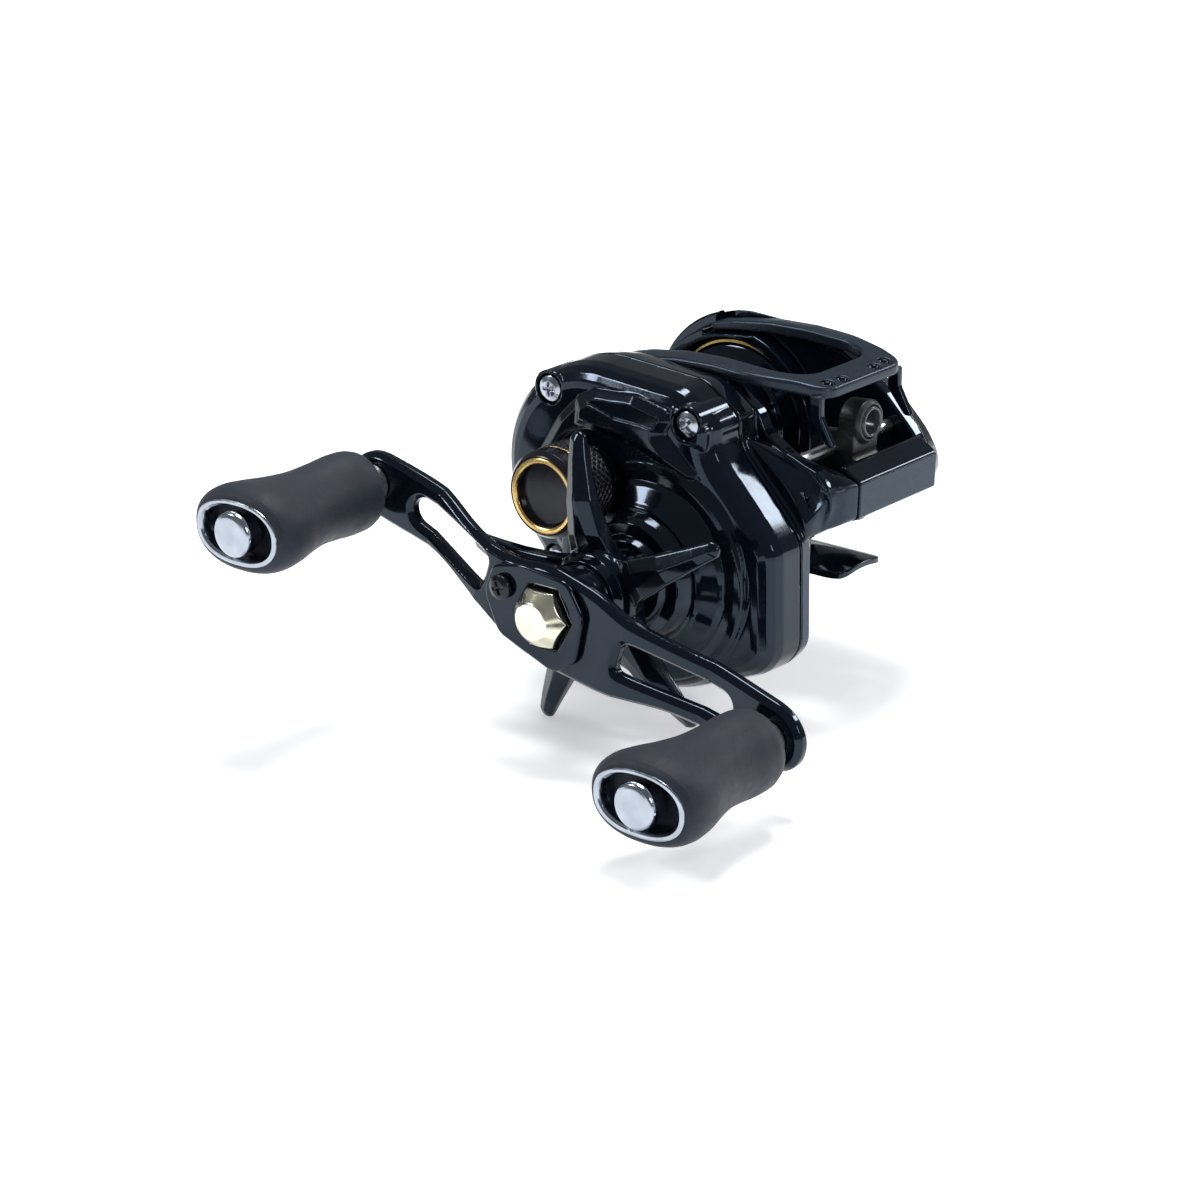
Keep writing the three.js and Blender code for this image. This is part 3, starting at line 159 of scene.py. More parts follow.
def cylinder(x, r, x0, x1, radius):
    """Field of a round bar; r is the distance to its axis."""
    return np.maximum(np.abs(x - (x0 + x1) / 2) - (x1 - x0) / 2, r - radius)


def block(x, y, z, xs, ys, zs):
    """Field of a box from its (low, high) along each axis."""
    d = [np.abs(c - (s[0] + s[1]) / 2) - (s[1] - s[0]) / 2 for c, s in ((x, xs), (y, ys), (z, zs))]
    return np.maximum(np.maximum(d[0], d[1]), d[2])


def union(*fields):
    """Union of several fields, its corners left sharp."""
    total = fields[0]
    for each in fields[1:]:
        total = np.minimum(total, each)
    return total


def both(a, b, r=0.0):
    """Intersection with its edge rounded by r."""
    if not r:
        return np.maximum(a, b)
    return np.minimum(np.maximum(a, b) + r, 0) + np.hypot(np.maximum(a + r, 0), np.maximum(b + r, 0)) - r


def merge(a, b, r=0.0):
    """Union with its corner filleted by r."""
    if not r:
        return np.minimum(a, b)
    return np.maximum(r, np.minimum(a, b)) - np.hypot(np.maximum(r - a, 0), np.maximum(r - b, 0))


def bevelled(a, b, width, r=0.12):
    """Intersection with its edge cut off at 45 degrees."""
    return both(np.maximum(a, b), (a + b + width) * math.sqrt(0.5), r)


def carve(a, b, r=0.0):
    """a with b taken out, the new edge rounded by r."""
    return both(a, -b, r)


def hull(points, soft=0.25):
    """Field of the convex body round some points, its edges softened."""
    at = np.array(points, float)
    middle = at.mean(0)
    planes = []
    n = len(at)
    for i in range(n):
        for j in range(i + 1, n):
            for k in range(j + 1, n):
                normal = np.cross(at[j] - at[i], at[k] - at[i])
                size = np.linalg.norm(normal)
                if size < 1e-6:
                    continue
                normal /= size
                if normal @ (at[i] - middle) < 0:
                    normal = -normal
                offset = normal @ at[i]
                if (at @ normal - offset).max() > 1e-3:
                    continue
                if all(np.linalg.norm(normal - m) + abs(offset - o) > 0.02 for m, o in planes):
                    planes.append((normal, offset))

    def field(x, y, z):
        total = 0
        for m, o in planes:
            total = total + np.exp(np.minimum((m[0] * x + m[1] * y + m[2] * z - o) / soft, 60))
        return soft * np.log(total)
    return field


# -------- meshes

CORNERS = np.array([[i, j, k] for i in (0, 1) for j in (0, 1) for k in (0, 1)])
EDGES = [(a, b) for a in range(8) for b in range(a + 1, 8) if np.abs(CORNERS[a] - CORNERS[b]).sum() == 1]


def surface(field, low, high, step):
    """Quads on a field's zero level: surface nets, drawn onto the level, with the field's own normals."""
    step *= COARSE
    low = np.array(low, float) - 2.3 * step
    axes = [np.arange(low[i], high[i] + 2.3 * step, step) for i in range(3)]
    shape = tuple(len(a) for a in axes)
    value = np.empty(shape, np.float32)
    slab = max(1, int(3e6 / (shape[1] * shape[2])))
    y, z = axes[1][None, :, None], axes[2][None, None, :]
    for i in range(0, shape[0], slab):
        value[i:i + slab] = field(axes[0][i:i + slab, None, None], y, z)
    inside = value < 0
    total = sum(inside[c[0]:shape[0] - 1 + c[0], c[1]:shape[1] - 1 + c[1],
                       c[2]:shape[2] - 1 + c[2]].astype(np.int8) for c in CORNERS)
    cells = np.argwhere((total > 0) & (total < 8))
    number = np.full(total.shape, -1, np.int32)
    number[tuple(cells.T)] = np.arange(len(cells))
    at = np.zeros((len(cells), 3))
    hits = np.zeros(len(cells))
    for a, b in EDGES:
        va = value[tuple((cells + CORNERS[a]).T)]
        vb = value[tuple((cells + CORNERS[b]).T)]
        crossed = (va < 0) != (vb < 0)
        t = np.where(crossed, va / np.where(crossed, va - vb, 1), 0)[:, None]
        at += np.where(crossed[:, None], CORNERS[a] + t * (CORNERS[b] - CORNERS[a]), 0)
        hits += crossed
    points = low + step * (cells + at / hits[:, None])
    quads = []
    for axis in range(3):
        ahead = np.eye(3, dtype=int)[axis]
        u, v = np.eye(3, dtype=int)[(axis + 1) % 3], np.eye(3, dtype=int)[(axis + 2) % 3]
        first = inside[tuple(slice(0, shape[i] - ahead[i]) for i in range(3))]
        second = inside[tuple(slice(ahead[i], shape[i]) for i in range(3))]
        edges = np.argwhere(first != second)
        corners = np.stack([number[tuple(np.maximum(edges - s, 0).T)] for s in (u + v, v, 0 * u, u)], 1)
        outward = first[tuple(edges.T)]
        quads.append(np.where(outward[:, None], corners, corners[:, ::-1]))
    quads = np.concatenate(quads)
    for _ in range(3):
        f, g = slope(field, points, 0.06)
        size = np.maximum((g * g).sum(1), 0.05)
        move = np.clip(-f / size, -0.6 * step, 0.6 * step)[:, None] * g
        points = points + move
    normals = slope(field, points, 0.14)[1]
    normals /= np.maximum(np.linalg.norm(normals, axis=1, keepdims=True), 1e-9)
    return points, quads, normals


def slope(field, points, h):
    """A field's value and gradient at some points, by central differences."""
    x, y, z = points.T
    g = np.stack([
        field(x + h, y, z) - field(x - h, y, z),
        field(x, y + h, z) - field(x, y - h, z),
        field(x, y, z + h) - field(x, y, z - h),
    ], 1) / (2 * h)
    return field(x, y, z), g


def piece(name, points, faces, body, look, normals=None, turn=None, sharp=None):
    """Links a mesh in millimetres as one visible piece that rides on a CAD body.

    It takes the place of the CAD node that has its name, if there is one.
    """
    mesh = bpy.data.meshes.new(name)
    mesh.from_pydata((np.asarray(points) * MM).tolist(), [], [list(map(int, f)) for f in faces])
    mesh.polygons.foreach_set("use_smooth", [True] * len(mesh.polygons))
    obj = bpy.data.objects.new(name, mesh)
    bpy.context.scene.collection.objects.link(obj)
    if turn is not None:
        mesh.transform(turn)
        if normals is not None:
            normals = np.asarray(normals) @ np.array(turn.to_3x3()).T
    if normals is not None:
        mesh.normals_split_custom_set_from_vertices([tuple(n) for n in normals])
    elif sharp:
        mesh.set_sharp_from_angle(angle=math.radians(sharp))
    mesh.materials.append(look)
    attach(obj, body)
    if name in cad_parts:
        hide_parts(name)
    return obj


def cast(name, field, low, high, step, body, look, turn=None):
    """A piece meshed from its field inside a box."""
    points, quads, normals = surface(field, low, high, step)
    return piece(name, points, quads, body, look, normals, turn)


def repaint(obj, look, chosen):
    """Gives a second finish to the faces that chosen(centres in mm, normals) picks."""
    mesh = obj.data
    count = len(mesh.polygons)
    centres, normals = np.empty(count * 3), np.empty(count * 3)
    mesh.polygons.foreach_get("center", centres)
    mesh.polygons.foreach_get("normal", normals)
    mesh.materials.append(look)
    picked = chosen(centres.reshape(-1, 3) / MM, normals.reshape(-1, 3))
    mesh.polygons.foreach_set("material_index", picked.astype(np.int32))


def fillet(profile, radius, closed, steps=4):
    """Profile points with rounded corners, each with its normal, and straight runs kept straight."""
    at = np.array(profile, float)
    out, last = [], len(at) - 1
    for i, corner in enumerate(at):
        if not closed and i in (0, last):
            run = at[1] - at[0] if i == 0 else at[last] - at[last - 1]
            n = np.array([-run[1], run[0]]) / np.linalg.norm(run)
            out.append((corner, n))
            continue
        back, ahead = corner - at[i - 1], at[(i + 1) % len(at)] - corner
        lb, la = np.linalg.norm(back), np.linalg.norm(ahead)
        nb = np.array([-back[1], back[0]]) / lb
        na = np.array([-ahead[1], ahead[0]]) / la
        cut = min(radius, 0.45 * lb, 0.45 * la)
        enter, leave = corner - back / lb * cut, corner + ahead / la * cut
        for t in np.linspace(0, 1, steps + 1):
            p = (1 - t) ** 2 * enter + 2 * t * (1 - t) * corner + t * t * leave
            n = (1 - t) * nb + t * na
            out.append((p, n / max(np.linalg.norm(n), 1e-9)))
    return out


def lathe(name, profile, body, look, at=(0.0, 0.0), x=0.0, radius=0.15, segments=96, closed=False,
          bumps=None, axis="X"):
    """A turned piece from [along, radius] points. An open profile starts and ends on the axis."""
    line = fillet(profile, radius, closed)
    theta = np.linspace(0, 2 * math.pi, segments, endpoint=False)
    points, normals, rows = [], [], []
    for (along, r), (na, nr) in line:
        if r < 1e-6:
            rows.append([len(points)])
            points.append((along, 0, 0))
            normals.append((na, 0, 0))
            continue
        rows.append(list(range(len(points), len(points) + segments)))
        for t in theta:
            rr = r + (bumps(along, t, r) if bumps else 0)
            points.append((along, rr * math.cos(t), rr * math.sin(t)))
            normals.append((na, nr * math.cos(t), nr * math.sin(t)))
    faces = []
    pairs = list(zip(rows, rows[1:])) + ([(rows[-1], rows[0])] if closed else [])
    for a, b in pairs:
        for i in range(segments):
            j = (i + 1) % segments
            if len(a) == 1 and len(b) == 1:
                break
            if len(a) == 1:
                face = (a[0], b[j], b[i])
            elif len(b) == 1:
                face = (a[i], a[j], b[0])
            else:
                face = (a[i], a[j], b[j], b[i])
            faces.append(face)
    points, normals = np.array(points, float), np.array(normals, float)
    tri = np.array([f[:3] for f in faces] + [(f[0], f[2], f[3]) for f in faces if len(f) == 4])
    a, b, c = points[tri[:, 0]], points[tri[:, 1]], points[tri[:, 2]]
    if (a * np.cross(b, c)).sum() < 0:
        faces = [f[::-1] for f in faces]
        tri = tri[:, ::-1]
    across = np.cross(points[tri[:, 1]] - points[tri[:, 0]], points[tri[:, 2]] - points[tri[:, 0]])
    if (across * normals[tri[:, 0]]).sum() < 0:
        normals = -normals
    if axis == "Z":
        points, normals = points[:, [1, 2, 0]], normals[:, [1, 2, 0]]
        points = points + (x, at[0], 0)
    elif axis == "Y":
        points, normals = points[:, [2, 0, 1]], normals[:, [2, 0, 1]]
        points = points + (x, 0, at[1])
    else:
        points = points + (x, at[0], at[1])
    if bumps:
        return piece(name, points, faces, body, look, sharp=50)
    return piece(name, points, faces, body, look, normals)


# -------- materials


TINT = 0.15  # how far a finish's colour strays to each side
RELIEF = 0.0002  # metres


def material(name, slot, colour, roughness, metallic=0.0, spread=0.05, grain=900.0, bump=0.02,
             fine=6000.0, sheen=0.0, specular=0.5, voronoi=False, shine=(1, 1, 1)):
    """A finish whose colour, roughness and relief all vary a little over the surface."""
    look = bpy.data.materials.new(name)
    look["slot"] = slot
    look.use_nodes = True
    tree = look.node_tree
    nodes, links = tree.nodes, tree.links
    shader = nodes["Principled BSDF"]
    where = nodes.new("ShaderNodeTexCoord")

    def noise(scale, detail=3.0):
        node = nodes.new("ShaderNodeTexNoise")
        node.inputs["Scale"].default_value = scale
        node.inputs["Detail"].default_value = detail
        links.new(where.outputs["Object"], node.inputs["Vector"])
        return node.outputs["Fac"]

    def ramp(source, low, high):
        node = nodes.new("ShaderNodeMapRange")
        node.inputs["From Min"].default_value = 0.25
        node.inputs["From Max"].default_value = 0.75
        node.inputs["To Min"].default_value = low
        node.inputs["To Max"].default_value = high
        links.new(source, node.inputs["Value"])
        return node.outputs["Result"]

    mix = nodes.new("ShaderNodeMix")
    mix.data_type = "RGBA"
    mix.inputs["A"].default_value = (*[c * (1 - TINT) for c in colour], 1)
    mix.inputs["B"].default_value = (*[min(1, c * (1 + TINT)) for c in colour], 1)
    links.new(ramp(noise(grain * 0.35), 0, 1), mix.inputs["Factor"])
    links.new(mix.outputs["Result"], shader.inputs["Base Color"])
    links.new(ramp(noise(grain), roughness - spread, roughness + spread), shader.inputs["Roughness"])
    if voronoi:
        cells = nodes.new("ShaderNodeTexVoronoi")
        cells.inputs["Scale"].default_value = fine
        links.new(where.outputs["Object"], cells.inputs["Vector"])
        height = cells.outputs["Distance"]
    else:
        height = noise(fine, 2.0)
    relief = nodes.new("ShaderNodeBump")
    relief.inputs["Strength"].default_value = bump
    relief.inputs["Distance"].default_value = RELIEF
    links.new(height, relief.inputs["Height"])
    links.new(relief.outputs["Normal"], shader.inputs["Normal"])
    shader.inputs["Metallic"].default_value = metallic
    shader.inputs["Specular IOR Level"].default_value = specular
    shader.inputs["Specular Tint"].default_value = (*shine, 1)
    shader.inputs["Sheen Weight"].default_value = sheen
    return look


GLOSS = material("gloss_black_paint", "gloss_black", (0.0022, 0.0036, 0.0075), 0.09, spread=0.03,
                 bump=0.015, fine=2500, grain=700, specular=0.42, shine=(0.60, 0.78, 1.0))
SATIN = material("satin_graphite_paint", "satin_graphite", (0.014, 0.020, 0.031), 0.31, metallic=0.4,
                 spread=0.06, bump=0.08, fine=9000, grain=1500, shine=(0.7, 0.85, 1.0))
GRIP = material("grip_rubber", "grip", (0.008, 0.0125, 0.024), 0.58, spread=0.07, bump=0.22, fine=5200,
                grain=500, sheen=0.05, specular=0.3, voronoi=True)
PLASTIC = material("black_moulding", "black_plastic", (0.010, 0.011, 0.014), 0.42, bump=0.08, fine=4200)
ANODISED = material("black_anodising", "anodised_black", (0.014, 0.016, 0.021), 0.20, metallic=0.6,
                    spread=0.04, bump=0.03, fine=7000)
GOLD = material("gold_anodising", "gold", (0.72, 0.50, 0.19), 0.24, metallic=1.0, bump=0.05, fine=5000)
PALE_GOLD = material("pale_gold_plating", "pale_gold", (0.80, 0.78, 0.60), 0.20, metallic=1.0,
                     bump=0.05, fine=4000)
STEEL = material("steel", "steel", (0.52, 0.54, 0.57), 0.30, metallic=1.0, bump=0.06, fine=5000)
CHROME = material("dark_chrome", "chrome", (0.36, 0.40, 0.46), 0.17, metallic=1.0, bump=0.03, fine=3500)
BRASS = material("brass", "brass", (0.60, 0.42, 0.16), 0.32, metallic=1.0, bump=0.08, fine=5000)
CARBON = material("carbon_fibre", "carbon", (0.018, 0.019, 0.022), 0.5, bump=0.5, fine=1800, voronoi=True)
CERAMIC = material("ceramic", "ceramic", (0.035, 0.040, 0.048), 0.22, bump=0.03, fine=3000)

# -------- side outlines

GEAR_SIDE = rounded(
    arc(SPOOL, BODY_R, 84, 225) + arc(DRIVE, CASE_R, 225, 290) + [
        (29.6, -11), (32.6, -7), (32.2, 12.2), (29.4, 15.8), (19.9, 25.8), (18.7, 28.8), (19, 32),
        (11.4, 37.2)], 2.2)
GEAR_WALL = (
    arc(SPOOL, BODY_R - 1.2, 84, 225) + arc(DRIVE, CASE_R - 1.4, 225, 290) + [
        (26, -9.4), (27.6, -6), (28.4, 10.6), (32.2, 12.4), (34.4, 17), (34, 20.4), (31.2, 22.8),
        (25.4, 24.6), (20, 27.8), (18.4, 31.4), (11, 36)])
PALM_WALL = (
    arc(SPOOL, BODY_R - 0.3, 90, 262) + [
        (5, 1.4), (18, 6), (28, 10.6), (33.4, 12.6), (33.6, 17.6), (30.6, 22.6), (24, 29), (15, 34.7),
        (5, 37.4)])
HOOD_SEAT = [(-13, 34), (-8, 34.9), (0, 35.8), (8, 36), (16, 35.6), (24, 34.9), (30, 34.1)]

gear_side = Outline(GEAR_SIDE)


def about(centre, y, z):
    """Distance from an axis that runs along X."""
    return np.hypot(y - centre[0], z - centre[1])


# -------- gear side plate

PLATE_SCREWS = [("rear", -16.3, 32.4, 31.2), ("front", 13.9, 31.7, 31.2), ("lower", -14.9, 1.3, 30.6)]


def gear_side_plate():
    shell_of = Outline([(22.3, DEEP), (22.3, -0.25), (22.55, 0), (27.2, -0.1), (28.9, -0.6), (30.1, -1.6),
                        (30.8, -2.9), (31, -4.2), (31, DEEP)], 0.15)
    drum_of = lathe_field([(24, 0), (24, 21.6), (29.4, 21.5), (30.6, 21), (31.3, 20.3), (31.4, 19.9),
                           (31.9, 19.5), (32.2, 18.3), (32.2, 0)])
    boss_of = lathe_field([(30, 0), (30, 16.6), (32.4, 16.4), (33.1, 15.7), (34.6, 13.2), (35.2, 12.5),
                           (35.2, 11.7), (36.6, 11.1), (37.7, 10.3), (37.8, 8.1), (39.2, 7.5),
                           (39.2, 0)])
    ridge = soft_outline([(-10.3, 27.2), (-9.8, 32.3), (-5.7, 34.4), (3, 35), (10, 33.6), (10.6, 31.4),
                             (9.4, 29.3), (16.6, 23), (15, 21.8), (3, 25.6)], 0.5, 0.15)
    ridge_of = Outline([(26, DEEP), (26, 0), (31.3, 0), (33, -2.1), (33, DEEP)], 0.1)
    panel = soft_outline([(-6.8, 32.2), (-4.8, 33), (3, 33.6), (8.6, 32.5), (8.9, 31.6), (7.9, 30.2),
                             (-0.5, 30.6)], 0.5, 0.15)
    shoulder = soft_outline([(-18.6, 10), (-18.2, 20.6), (-13.7, 28), (-9.4, 32.4), (0, 28),
                                (15, 23), (16, 10), (0, 2), (-12, 2)], 0.8, 0.15)
    shoulder_of = Outline([(26, DEEP), (26, 0.3), (31.1, 0), (31.7, -1.2), (31.9, DEEP)], 0.15)
    pad = soft_outline([(10.6, 34.4), (14, 34.6), (18, 31.4), (17.8, 27.6), (12.4, 28.2),
                           (10.4, 30.2)], 0.6, 0.15)
    pad_of = Outline([(26, DEEP), (26, 0), (30.6, 0), (31.5, -1.1), (31.5, DEEP)], 0.15)
    well_of = lathe_field([(30.6, 0), (30.6, 8.8), (31.6, 8.9), (32.4, 9.4), (36, 10.2), (42, 10.6),
                           (42, 0)])
    bearing_of = lathe_field([(28, 0), (28, 8.15), (35.9, 8.15), (35.9, 5.58), (38.6, 5.58),
                              (38.6, 3.4), (41, 3.4), (41, 0)])
    spindle_of = lathe_field([(21, 0), (21, 6.5), (29.5, 6.5), (29.5, 3.4), (42, 3.4), (42, 0)])

    def field(x, y, z):
        side = gear_side(y, z)
        r = about(DRIVE, y, z)
        s = about(SPOOL, y, z)
        shell = shell_of(x, side)
        outer = merge(shell, shoulder_of(x, shoulder(y, z)), 0.25)
        outer = merge(outer, drum_of(x, r), 0.25)
        outer = merge(outer, ridge_of(x, ridge(y, z)), 0.2)
        outer = merge(outer, pad_of(x, pad(y, z)), 0.2)
        outer = merge(outer, boss_of(x, r), 0.15)
        outer = carve(outer, both(panel(y, z), 32.4 - x), 0.12)
        outer = np.maximum(outer, side - 0.02)
        outer = carve(outer, well_of(x, s), 0.35)
        hollow = np.minimum(both(side + 1.8, x - 29.3), cylinder(x, r, 20, 29.2, 19.2))
        out = np.maximum(outer, -hollow)
        out = np.minimum(out, cylinder(x, s, 24, 39, 5.5))
        for _, sy, sz, head in PLATE_SCREWS:
            q = np.hypot(y - sy, z - sz)
            out = np.minimum(out, both(cylinder(x, q, 22.4, head - 0.4, 3.4), x - head + 0.2, 0.2))
            bore = np.minimum(cylinder(x, q, 18, head, 1.3), np.maximum(q - 2.75, head - 1.9 - x))
            out = carve(out, bore, 0.15)
        return np.maximum(np.maximum(out, -bearing_of(x, r)), np.maximum(-spindle_of(x, s), 22.3 - x))
    cast("gear_side_plate", field, (22.3, -27.4, -18.5), (39.2, 33, 38.4), 0.32, "body", GLOSS)


# -------- frame


NOSE = (16.6, -0.35)  # the satin nose's edge on the frame: X at z 20, and its lean
LOW_FRONT_SLOPE = 2.0  # how fast the case widens forwards, away from the wall


def frame_casting():
    wall = Outline(rounded(GEAR_WALL, 1.5, 3))
    palm = Outline(rounded(PALM_WALL, 1.5, 3))
    rim_of = Outline([(15.2, DEEP), (15.2, -1.3), (17, -0.8), (19.2, -0.35), (21.8, 0), (22, -0.2),
                      (22, DEEP)], 0.15)
    floor = Outline([(-20, 2.4), (16, 2.4), (18.5, 4.6), (18.5, 8.4), (14, 8), (9, 4.6), (-4, 3),
                     (-16, 5.4), (-25, 12), (-26.4, 12), (-26.4, 7)])
    seat = Outline([(-13.3, 44)] + [(y - (0.3 if y < -12 else 0), z - 0.3) for y, z in HOOD_SEAT]
                   + [(31, 44)])
    arm = hull(
        [(16, y, z) for y, z in [(18, 26), (23.4, 25.4), (31, 21.4), (33.4, 18.4), (32.6, 12.4), (25, 11.4)]]
        + [(18.4, y, z) for y, z in [(16, 28), (20.4, 27.2), (30.2, 20.8), (32.9, 16.8), (32.2, 12.3),
                                     (25, 10.4)]]
        + [(20.6, y, z) for y, z in [(15, 29), (19.7, 27.6), (28.8, 20.2), (31.8, 15.2), (32, 12),
                                     (24, 10)]], 0.16)
    corner = hull(
        [(10.3, y, z) for y, z in [(31.7, 22), (35.9, 20.3), (35.7, 14.2), (34.4, 13.1), (31.9, 13)]]
        + [(13.6, y, z) for y, z in [(31.6, 22.6), (35.4, 20.2), (35, 13.8), (33.6, 12.8), (31.7, 12.6)]]
        + [(16.4, y, z) for y, z in [(25, 25), (33.6, 19.4), (32.8, 12.6), (25, 12)]], 0.16)
    idler_room = 7
    thumb_slot = (-29, -24.95), (13.2, 24.4)

    def field(x, y, z):
        side = gear_side(y, z)
        s = about(SPOOL, y, z)
        r = about(DRIVE, y, z)
        w = about(WORM, y, z)
        lay = about(IDLER, y, z)
        ahead = 28 + LOW_FRONT_SLOPE * np.maximum(x - 17, 0) - y
        low_front = np.maximum(z - 13.5, np.where(x > 17, ahead / math.hypot(1, LOW_FRONT_SLOPE), ahead))
        case_room = np.maximum(both(side + 1.7, 16.4 - x), 1.4 - low_front)
        rim = np.maximum(rim_of(x, side), -case_room)
        rim = carve(rim, low_front, 0.3)
        rim = np.maximum(rim, 15.2 - x)
        plate = both(wall(y, z), np.abs(x - WALL_MIDDLE) - WALL_HALF, 0.3)
        out = merge(merge(plate, rim, 0.3), merge(arm(x, y, z), corner(x, y, z), 0.3), 0.6)
        train = union(cylinder(x, w, 16.4, 18.9, 4), cylinder(x, lay, 16.4, 19.4, idler_room))
        out = np.maximum(out, -train)
        out = np.maximum(out, -np.maximum(case_room, x - 30))
        palm_plate = both(palm(y, z), np.abs(x + WALL_MIDDLE) - WALL_HALF, 0.5)
        deck = both(floor(y, z), np.abs(x + 0.4) - 15, 0.3)
        deck = np.maximum(deck, -cylinder(x, s, -14.6, 13.58, 16))
        lips = both(np.abs(s - 16.95) - 0.95, np.abs(np.abs(x) - 13.1) - 3.3, 0.3)
        out = merge(np.minimum(out, palm_plate), merge(deck, lips, 0.4), 0.4)
        out = np.minimum(out, cylinder(x, lay, 15.9, 19.2, 1.5))
        holes = union(
            cylinder(x, s, -17.4, -12.6, 16), cylinder(x, s, 12.6, 18.4, 4.08),
            cylinder(x, r, 12.6, 18.4, 5.08), cylinder(x, w, -17.4, 17.4, 2.9),
            cylinder(x, about(GUIDE_ROD, y, z), -14.8, 16.2, 1.18),
            block(x, y, z, (12.6, 18.4), *thumb_slot), block(x, y, z, (-17.4, -12.2), *thumb_slot),
            both(seat(y, z), np.abs(x + 0.45) - 16.95),
            *(cylinder(z, np.hypot(x, y - sy), 2.1, 7.6, 1.1) for sy in FOOT_SCREWS))
        return np.maximum(out, -holes)
    casting = cast("frame", field, (-16.4, -27.4, -18.6), (22, 36, 38.4), 0.36, "body", GLOSS)
    repaint(casting, SATIN, lambda c, n: (c[:, 0] > 10) & (c[:, 0] < NOSE[0] - (20 - c[:, 2]) * NOSE[1])
            & (c[:, 1] > 31.8) & (c[:, 2] < 20.5) & (n[:, 1] > 0.25))


# -------- palm side plate


def palm_side_plate():
    plan = Outline(rounded(PALM_WALL, 2.4, 3))
    shell_of = Outline([(-16.7, DEEP), (-16.7, -0.4), (-20.2, -1.7), (-23.4, -4.1), (-25.4, -6.3),
                        (-26.4, -8.6), (-26.6, -10), (-26.6, DEEP)], 0.15)
    hollow_of = Outline([(-14, DEEP), (-14, -2.3), (-16.7, -2.3), (-19.4, -3.4), (-21.6, -5.2),
                         (-22.9, -7), (-23.6, -9), (-23.6, DEEP)], 0.15)
    hub_of = lathe_field([(-24.6, 0), (-24.6, 6), (-18.4, 4.9), (-13.4, 4.9), (-13.4, 0)])
    dial_of = lathe_field([(-29, 0), (-29, 10.6), (-26.6, 10), (-25.1, 8.95), (-25.1, 0)])

    def field(x, y, z):
        d = plan(y, z)
        s = about(SPOOL, y, z)
        out = np.maximum(shell_of(x, d), -hollow_of(x, d))
        out = merge(out, hub_of(x, s), 0.3)
        bores = union(cylinder(x, s, -16.2, -12, 4.08), cylinder(x, s, -20, -15, 1.6),
                       cylinder(x, s, -29, -22.4, 1.7))
        out = carve(out, dial_of(x, s), 0.3)
        return np.maximum(out, -bores)
    cast("palm_side_plate", field, (-26.6, -26.4, -1.2), (-13.4, 34, 37.2), 0.34, "body", GLOSS)


# -------- hood and front panel


HOOD_DIMPLES = [(8.6, 27.4), (4.8, 27.9), (-4.8, 27.9), (-8.6, 27.4)]


def hood():
    plan = soft_outline([(-16.2, -13), (-16, 16), (-11.4, 29.7), (11.4, 29.7), (16, 16),
                            (16.2, -13)], 3.4)
    window = soft_outline([(-11.4, -16), (-11.4, 19), (-8, 23.6), (8, 23.6), (11.4, 19),
                              (11.4, -16)], 3)
    side = Outline(rounded(HOOD_SEAT + [(30, 36.2), (24, 37.2), (16, 37.9), (8, 38.3), (0, 38),
                                        (-8, 36.9), (-13, 35.6)], 0.8))
    post = soft_outline([(26.4, 35), (26.4, 30.8), (30, 26.4), (31.6, 26.4), (28.8, 31.4),
                            (28.8, 35)], 0.5)

    def field(x, y, z):
        flat = carve(plan(x, y), window(x, y))
        top = side(y, z) + 0.02
        out = both(flat, top + 0.12 * np.maximum(np.abs(x) - 13.2, 0) * (z > 36), 0.6)
        legs = both(post(y, z), np.abs(np.abs(x) - 11.75) - 0.65, 0.3)
        out = merge(out, legs, 0.4)
        for cx, cy in HOOD_DIMPLES[:2]:
            q = np.hypot(np.abs(x) - cx, y - cy)
            out = carve(out, np.maximum(q - 1.25, 35.5 - z), 0.15)
        return out
    shell = cast("hood", field, (-16.2, -13, 26.4), (16.2, 31.6, 38.3), 0.26, "body", SATIN)
    repaint(shell, GLOSS, lambda c, n: c[:, 2] < 33.6)
    # Painted shade: black gloss cups line the dimples, a dark lining that stands in for the shade deep in
    # each hole.
    for i, (cx, cy) in enumerate(HOOD_DIMPLES):
        lathe("hood_shade_cup_%d" % (i + 1), [(35.45, 0), (35.45, 1.2), (36.45, 1.2), (36.4, 1.0), (35.85, 0.6),
                                        (35.75, 0)], "body", GLOSS, at=(cy, 0), x=cx, radius=0.08,
              segments=40, axis="Z")


def front_panel():
    face = soft_outline([(35.9, 20.3), (35.7, 14), (34.4, 13.2), (31.9, 13), (31.9, 14.4),
                            (33.6, 14.9), (34.3, 15.8), (34.4, 19.6)], 0.3, 0.1)
    ledge = soft_outline([(31.5, 22.6), (32.4, 22.5), (35.88, 20.34), (34.4, 19.62), (31.8, 21.2)],
                            0.3, 0.1)
    for name, section, look in (("front_panel", face, SATIN), ("front_panel_ledge", ledge, GLOSS)):
        def field(x, y, z):
            return both(section(y, z), np.abs(x + 1.65) - 11.65, 0.2)
        cast(name, field, (-13.3, 31.5, 13), (10, 35.9, 22.6), 0.22, "body", look)


# -------- foot and thumb bar


def reel_foot():
    plan = soft_outline([(-6.5, 27.6), (-5.5, 30), (5.5, 30), (6.5, 27.6), (6.5, -25), (4.5, -28),
                            (-4.5, -28), (-6.5, -25)], 2.4)

    def field(x, y, z):
        arch = 1 - (x / 7.0) ** 2
        top = z - 1.1 - arch
        under = np.where(np.abs(y) < 9, -z, -(z - np.maximum(-0.2 + 1.2 * arch, 0)))
        out = both(plan(x, y), np.maximum(top, under), 0.25)
        for sy in FOOT_SCREWS:
            q = np.hypot(x, y - sy)
            out = np.maximum(out, -np.minimum(np.maximum(q - 2.1, z - 1.1), q - 1.1))
        return np.maximum(out, -z)
    cast("reel_foot", field, (-6.5, -28, 0), (6.5, 30, 2.1), 0.2, "body", GLOSS)


